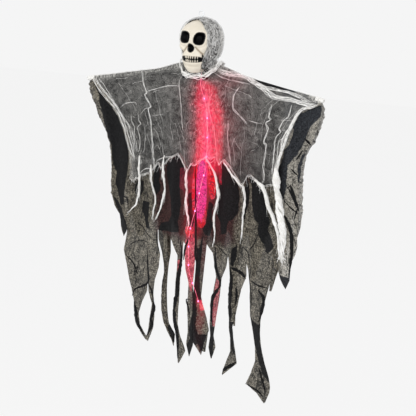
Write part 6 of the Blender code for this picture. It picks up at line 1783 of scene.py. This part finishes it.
def neck_bunch(finish):
    """Thin strands of gauze gathered loosely round the neck, with loops that stand off them."""
    tubes = Tubes()
    count = 120
    centres = [tie_point(FULL_TURN * k / count) for k in range(count)]
    for k in range(5):
        placed, radii = [], []
        for i in range(count + 1):
            turn = FULL_TURN * i / count
            fuller = 0.25 + 0.75 * smooth_share(1.2 * math.sin(turn) + 0.9 * math.cos(turn) + 0.45)
            fuller *= 1 + 0.5 * max(0.0, math.cos(turn - 0.1)) ** 6
            centre = centres[i % count]
            ahead = centres[(i + 1) % count] - centres[i - 1]
            across = ahead.cross(Vector((0, 0, 1))).normalized()
            up = across.cross(ahead).normalized()
            angle = FULL_TURN * (k / 5 + 2 * i / count) + 1.6 * rough(math.sin(turn) * 2, k * 1.7, 2.0)
            swell = 0.0034 * fuller * (1 + 0.9 * rough(math.sin(turn) * 5, math.cos(turn) * 5, k * 2.0))
            loose = 0.0040 * rough(math.sin(turn) * 3.3, math.cos(turn) * 3.3 + k, 5.0)
            placed.append(centre + across * math.cos(angle) * swell + up * (math.sin(angle) * swell + loose))
            thick = smooth_share(0.5 + 0.9 * rough(math.sin(turn) * 7, math.cos(turn) * 7, k * 3.0))
            radii.append((0.00060 + 0.00110 * thick) * (0.4 + 0.6 * fuller))
        placed[-1], radii[-1] = placed[0], radii[0]
        tubes.add(placed, radii, sides=6)
    for k in range(12):
        first = -0.9 + 1.7 * chance(k, 11, 2)
        long = 0.30 + 0.5 * chance(k, 12, 2)
        placed = []
        for t in shares(22):
            point = tie_point(first + long * t)
            lift = math.sin(HALF_TURN * t) * (0.002 + 0.007 * chance(k, 13, 2))
            placed.append(point + Vector((0, -0.0040, -lift if k % 3 else lift * 0.6)))
        tubes.add(placed, 0.00050 + 0.00055 * chance(k, 14, 2), sides=5)
    for k in range(78):
        turn = -0.55 + 2.6 * (k + 0.7 * chance(k, 15, 2)) / 30 if k < 30 else 2.0 + 2.6 * (k - 30) / 48
        low = tie_point(turn)
        sweep = turn - 0.10 - 0.30 * chance(k, 16, 2)
        back = max(0.0, -math.cos(sweep))
        high = Vector((0.034 * math.sin(sweep) * (1 + 0.15 * back), -0.030 * math.cos(sweep) - 0.006 + 0.012 * back,
                       -0.127 + 0.017 * back - 0.004 * chance(k, 17, 2)))
        high = low.lerp(high, 0.58 + 0.42 * smooth_share(-2.5 * math.cos(turn)))
        placed = []
        for t in shares(12):
            point = low.lerp(high, t) + Vector((0, -0.003 * math.cos(turn) * math.sin(HALF_TURN * t), 0))
            placed.append(point + Vector((0.0010 * rough(t * 5, k), 0, 0.0012 * rough(t * 5, k, 4.0))))
        tubes.add(placed, (0.0003 + 0.0006 * chance(k, 18, 2)) * (1 + 0.9 * back), sides=5)
    return tubes.finish("neck_bunch", finish)


def rod_tip(side, name, low_along, high_along, radius, threads, finish):
    """Gauze wound in lumpy turns round the end of an arm rod."""
    tubes = Tubes()
    low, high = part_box(name)
    middle = (Vector(low) + Vector(high)) / 2
    axis = Vector((side * math.cos(DROOP), 0, -math.sin(DROOP)))
    across = Vector((math.sin(DROOP) * side, 0, math.cos(DROOP)))
    for k in range(threads):
        placed, radii = [], []
        for t in shares(91):
            angle = FULL_TURN * (2.4 * t + k / threads) + 0.8 * rough(t * 4, k * 2.0, side)
            along = low_along + (high_along - low_along) * t
            dome = math.sqrt(max(0.05, 1 - max(0.0, 2 * t - 1) ** 2)) if k % 2 else 1.0
            wide = radius * dome * (0.72 + 0.34 * rough(t * 5, k * 3.1, side + 2))
            placed.append(middle + axis * along + (Vector((0, 1, 0)) * math.cos(angle) + across * math.sin(angle))
                          * wide)
            radii.append(0.0008 + 0.0006 * (0.5 + 0.5 * rough(t * 12, k * 1.7, side + 4)))
        tubes.add(placed, radii, sides=6)
    for k in range(4):
        ends = [middle + Vector((side * (0.002 * k - 0.010) * t, -radius * 0.8, 0.003 - (0.003 * k + 0.009) * t))
                for t in shares(9)]
        tubes.add(ends, 0.0005, sides=4)
    return tubes.finish(name + "_gauze", finish)


# Light string

def string_line():
    """Middle line of the wire, cut to its length."""
    route = [Vector(p) for p in STRING_NECK]
    for x, z in STRING_CHEST:
        route.append(cloth_point(x, z, 0.0) + Vector((0, -0.0034, 0)))
    line = smooth_line(route, 0.0008)
    kept, travelled = [line[0]], 0.0
    for a, b in zip(line, line[1:]):
        travelled += (b - a).length
        if travelled > STRING_LENGTH:
            break
        kept.append(b)
    return kept


def light_string_parts(finish):
    """The wire as one tube that swells a little at each lamp."""
    line = string_line()
    travelled, distances = 0.0, [0.0]
    for a, b in zip(line, line[1:]):
        travelled += (b - a).length
        distances.append(travelled)
    del LAMPS[:]
    radii, lit, shown = [], [], []
    lamp_places = [FIRST_LAMP + k * LAMP_PITCH for k in range(LAMP_COUNT)]
    for point, distance in zip(line, distances):
        nearest = min(abs(distance - lamp) for lamp in lamp_places)
        swell = smooth_share((0.0028 - nearest) / 0.0012)
        radii.append(0.0006 + 0.0011 * swell)
        lit.append(swell)
        shown.append(smooth_share((-0.158 - point.z) / 0.012))
    for lamp in lamp_places:
        LAMPS.append(min(zip(line, distances), key=lambda pair: abs(pair[1] - lamp))[0].copy())
    tubes = Tubes()
    tubes.add(line, radii, sides=STRING_SIDES)
    values = {key: [value for value in row for _ in range(STRING_SIDES)]
              for key, row in (("lit", lit), ("shown", shown))}
    return make_mesh("lit_string", tubes.points, tubes.faces, finish, values, tubes.along), line


# Operators

def finish_named(name):
    """A finish made by an earlier step."""
    if name not in FINISHES:
        raise RuntimeError("the finish " + name + " isn't made yet")
    return FINISHES[name]


class GHOST_OT_finishes(Operator):
    """Make the finishes and give the frame's own parts theirs"""

    bl_idname = "ghost.finishes"
    bl_label = "Make Finishes"

    def execute(self, context):
        colours = context.scene.ghost_colours
        skull_finish(colours)
        black_gauze_finish(colours)
        pale_gauze_finish(colours)
        hood_finish("hood gauze", (0.20, 0.20, 0.195), 0.86, 0.10)
        hood_finish("hood veil", (0.62, 0.61, 0.59), 0.26, 0.16)
        thread_finish(colours)
        lamp_finish()
        ivory = list(colours.ivory)
        back = plastic_finish("ivory back", ivory, 0.45, 620.0, shaded(ivory, 0.8), 0.2)
        node_finish(back, "skull_back", "skull_base")
        for name, rgb, roughness, scale, wear_and_backlight, dust, metallic, coat, nodes in PLAIN_FINISHES:
            node_finish(plastic_finish(name, rgb, roughness, scale, wear_and_backlight, dust, metallic, coat), *nodes)
        sockets = finish_named("socket black").node_tree.nodes["Principled BSDF"]
        sockets.inputs["Specular IOR Level"].default_value = 0.03
        return {"FINISHED"}


class GHOST_OT_light_string(Operator):
    """Lay the light string down the chest"""

    bl_idname = "ghost.light_string"
    bl_label = "Add Light String"

    def execute(self, context):
        string, line = light_string_parts(finish_named("lit red lamps"))
        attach(string, "torso")
        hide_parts("light_string")
        return {"FINISHED"}


class GHOST_OT_skull(Operator):
    """Build the skull's face and teeth"""

    bl_idname = "ghost.skull"
    bl_label = "Add Skull"

    def execute(self, context):
        ivory = finish_named("ivory skull")
        shell, hollows = skull_shell(ivory, finish_named("socket black"))
        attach(shell, "head")
        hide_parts("skull_face")
        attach(hollows, "head")
        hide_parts("left_eye_cup", "right_eye_cup", "nose_cup", "mouth_liner")
        upper = tooth_row("upper_tooth_row", 0.640, 0.722, True, ivory)
        lower = tooth_row("lower_tooth_row", 0.738, 0.820, False, ivory)
        for row, node in ((upper, "upper_teeth"), (lower, "lower_teeth")):
            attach(row, "head")
            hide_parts(node)
        return {"FINISHED"}


class GHOST_OT_hood(Operator):
    """Drape the hood over the skull"""

    bl_idname = "ghost.hood"
    bl_label = "Add Hood"

    def execute(self, context):
        hood = hood_sheet("hood_cloth", finish_named("hood gauze"), off=0.0, reach=0.0, rows=100, columns=240,
                          wider=0.0, bottom=0.755, ragged=0.003)
        veil = hood_sheet("hood_veil", finish_named("hood veil"), off=0.0022, reach=0.0022, rows=80, columns=200,
                          wider=math.radians(3), bottom=0.74, ragged=0.005)
        threads = hood_threads(finish_named("cotton threads"))
        for piece in (hood, veil, threads):
            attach(piece, "head")
        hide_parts("hood")
        return {"FINISHED"}


def drape(piece):
    """Bakes the cloth's placing into its points."""
    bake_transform(piece)


class GHOST_OT_robe(Operator):
    """Hang the two halves of the black robe"""

    bl_idname = "ghost.robe"
    bl_label = "Add Robe"

    def execute(self, context):
        sizes = context.scene.ghost_sizes
        for side_name, side in (("left", -1), ("right", 1)):
            robe = robe_half(side_name, side, sizes, finish_named("sheer black gauze"))
            drape(robe)
            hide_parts("robe_" + side_name)
        return {"FINISHED"}


class GHOST_OT_poncho(Operator):
    """Lay the pale gauze and its pulled threads over the robe"""

    bl_idname = "ghost.poncho"
    bl_label = "Add Poncho"

    def execute(self, context):
        sizes = context.scene.ghost_sizes
        threads_finish = finish_named("cotton threads")
        for side_name, side in (("left", -1), ("right", 1)):
            gauze = poncho_half(side_name, side, sizes, finish_named("pale gauze"))
            threads = pulled_threads(side_name, side, sizes, threads_finish)
            fringe = hem_fringe(side_name, side, sizes, threads_finish)
            for piece in (gauze, threads, fringe):
                drape(piece)
            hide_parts("poncho_" + side_name)
        return {"FINISHED"}


class GHOST_OT_strands(Operator):
    """Hang the twisted strands from the poncho's hem"""

    bl_idname = "ghost.strands"
    bl_label = "Add Strands"

    def execute(self, context):
        for number, (_, route) in enumerate(STRAND_ROUTES):
            piece = strand(number, finish_named("cotton threads"))
            drape(piece)
            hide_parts(f"gauze_strand_{number + 1}")
        return {"FINISHED"}


class GHOST_OT_ties(Operator):
    """Wind the gauze round the neck and the thread round the rod tips"""

    bl_idname = "ghost.ties"
    bl_label = "Add Ties"

    def execute(self, context):
        finish = finish_named("cotton threads")
        bunch = neck_bunch(finish)
        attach(bunch, "torso")
        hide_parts("neck_tie")
        for side_name, side in (("left", -1), ("right", 1)):
            for name, low, high, radius, threads in ((side_name + "_wrist_tie", -0.004, 0.004, 0.0066, 5),
                                                     (side_name + "_rod_cap", -0.008, 0.006, 0.0062, 8)):
                wrap = rod_tip(side, name, low, high, radius, threads, finish)
                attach(wrap, side_name + "_arm")
                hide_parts(name)
        return {"FINISHED"}


def seen_rays(w):
    """One where the camera, a reflection or a clear surface looks at the background."""
    path = w.node("ShaderNodeLightPath")
    seen = w.plus(path.outputs["Is Camera Ray"], path.outputs["Is Glossy Ray"])
    return w.least(w.plus(seen, path.outputs["Is Transmission Ray"]), 1.0)


def floor_finish():
    """Pale floor that looks as plain as the background."""
    made = bpy.data.materials.new("pale floor")
    made.use_nodes = True
    w = Wiring(made.node_tree)
    shader = made.node_tree.nodes["Principled BSDF"]
    w.put(shader.inputs["Base Color"], (0.90, 0.90, 0.90))
    w.put(shader.inputs["Roughness"], 0.9)
    glow = w.node("ShaderNodeEmission")
    w.put(glow.inputs["Color"], (0.922, 0.922, 0.922))
    blend = w.node("ShaderNodeMixShader")
    w.put(blend.inputs[0], w.times(seen_rays(w), 0.95))
    w.put(blend.inputs[1], shader.outputs[0])
    w.put(blend.inputs[2], glow.outputs[0])
    w.put(made.node_tree.nodes["Material Output"].inputs["Surface"], blend.outputs[0])
    return made


def studio_world():
    """White surroundings, a little greyer where they are seen."""
    world = bpy.data.worlds.new("studio")
    world.use_nodes = True
    w = Wiring(world.node_tree)
    ground = world.node_tree.nodes["Background"]
    seen = seen_rays(w)
    w.put(ground.inputs["Color"], w.mix(seen, WHITE, (0.913, 0.913, 0.913)))
    w.put(ground.inputs["Strength"], w.times_plus(seen, 0.50, 0.50))
    return world


def aimed(scene, name, data, place, aim):
    """A light or camera at a place that looks at another."""
    made = bpy.data.objects.new(name, data)
    made.location = place
    made.rotation_euler = (Vector(aim) - Vector(place)).to_track_quat("-Z", "Y").to_euler()
    scene.collection.objects.link(made)
    return made


class GHOST_OT_stage(Operator):
    """Set the pale floor, the studio lights and the camera"""

    bl_idname = "ghost.stage"
    bl_label = "Set Stage"

    def execute(self, context):
        scene = context.scene
        points = [(x * FLOOR_HALF, y * FLOOR_HALF, FLOOR_LEVEL) for x, y in ((-1, -1), (1, -1), (1, 1), (-1, 1))]
        floor = make_mesh("floor", points, [(0, 1, 2, 3)], floor_finish(), smooth=False)
        scene.world = studio_world()
        for name, place, size, power in STUDIO_LIGHTS:
            lamp = bpy.data.lights.new(name, "AREA")
            lamp.size = size
            lamp.energy = power
            aimed(scene, name, lamp, place, LIGHTS_AIM)
        camera = bpy.data.cameras.new("camera")
        camera.sensor_width = 36.0
        camera.sensor_fit = "HORIZONTAL"
        camera.lens = CAMERA_LENS
        camera.clip_end = 50.0
        scene.camera = aimed(scene, "camera", camera, CAMERA_PLACE, CAMERA_AIM)
        scene.view_settings.view_transform = "Standard"
        return {"FINISHED"}


STEPS = (GHOST_OT_stage, GHOST_OT_finishes, GHOST_OT_light_string, GHOST_OT_skull, GHOST_OT_hood, GHOST_OT_robe,
         GHOST_OT_poncho, GHOST_OT_strands, GHOST_OT_ties)


class GHOST_PT_panel(Panel):
    """Sizes, colours and steps of the ghost"""

    bl_idname = "GHOST_PT_panel"
    bl_label = "Hanging Ghost"
    bl_space_type = "VIEW_3D"
    bl_region_type = "UI"
    bl_category = "Ghost"

    def draw(self, context):
        column = self.layout.column(align=True)
        for key in ("fold_share", "ragged", "wrinkle", "thread", "loose_threads", "seed"):
            column.prop(context.scene.ghost_sizes, key)
        column = self.layout.column(align=True)
        for key in ("ivory", "cheesecloth", "glow", "core"):
            column.prop(context.scene.ghost_colours, key)
        column = self.layout.column(align=True)
        for step in STEPS:
            column.operator(step.bl_idname)


CLASSES = (GhostSizes, GhostColours) + STEPS + (GHOST_PT_panel,)


def register():
    for made in CLASSES:
        bpy.utils.register_class(made)
    bpy.types.Scene.ghost_sizes = PointerProperty(type=GhostSizes)
    bpy.types.Scene.ghost_colours = PointerProperty(type=GhostColours)


def unregister():
    del bpy.types.Scene.ghost_colours
    del bpy.types.Scene.ghost_sizes
    for made in reversed(CLASSES):
        bpy.utils.unregister_class(made)


def main():
    register()
    bpy.ops.ghost.stage()
    bpy.ops.ghost.finishes()
    bpy.ops.ghost.light_string()
    bpy.ops.ghost.skull()
    bpy.ops.ghost.hood()
    bpy.ops.ghost.robe()
    bpy.ops.ghost.poncho()
    bpy.ops.ghost.strands()
    bpy.ops.ghost.ties()


if __name__ == "__main__":
    main()
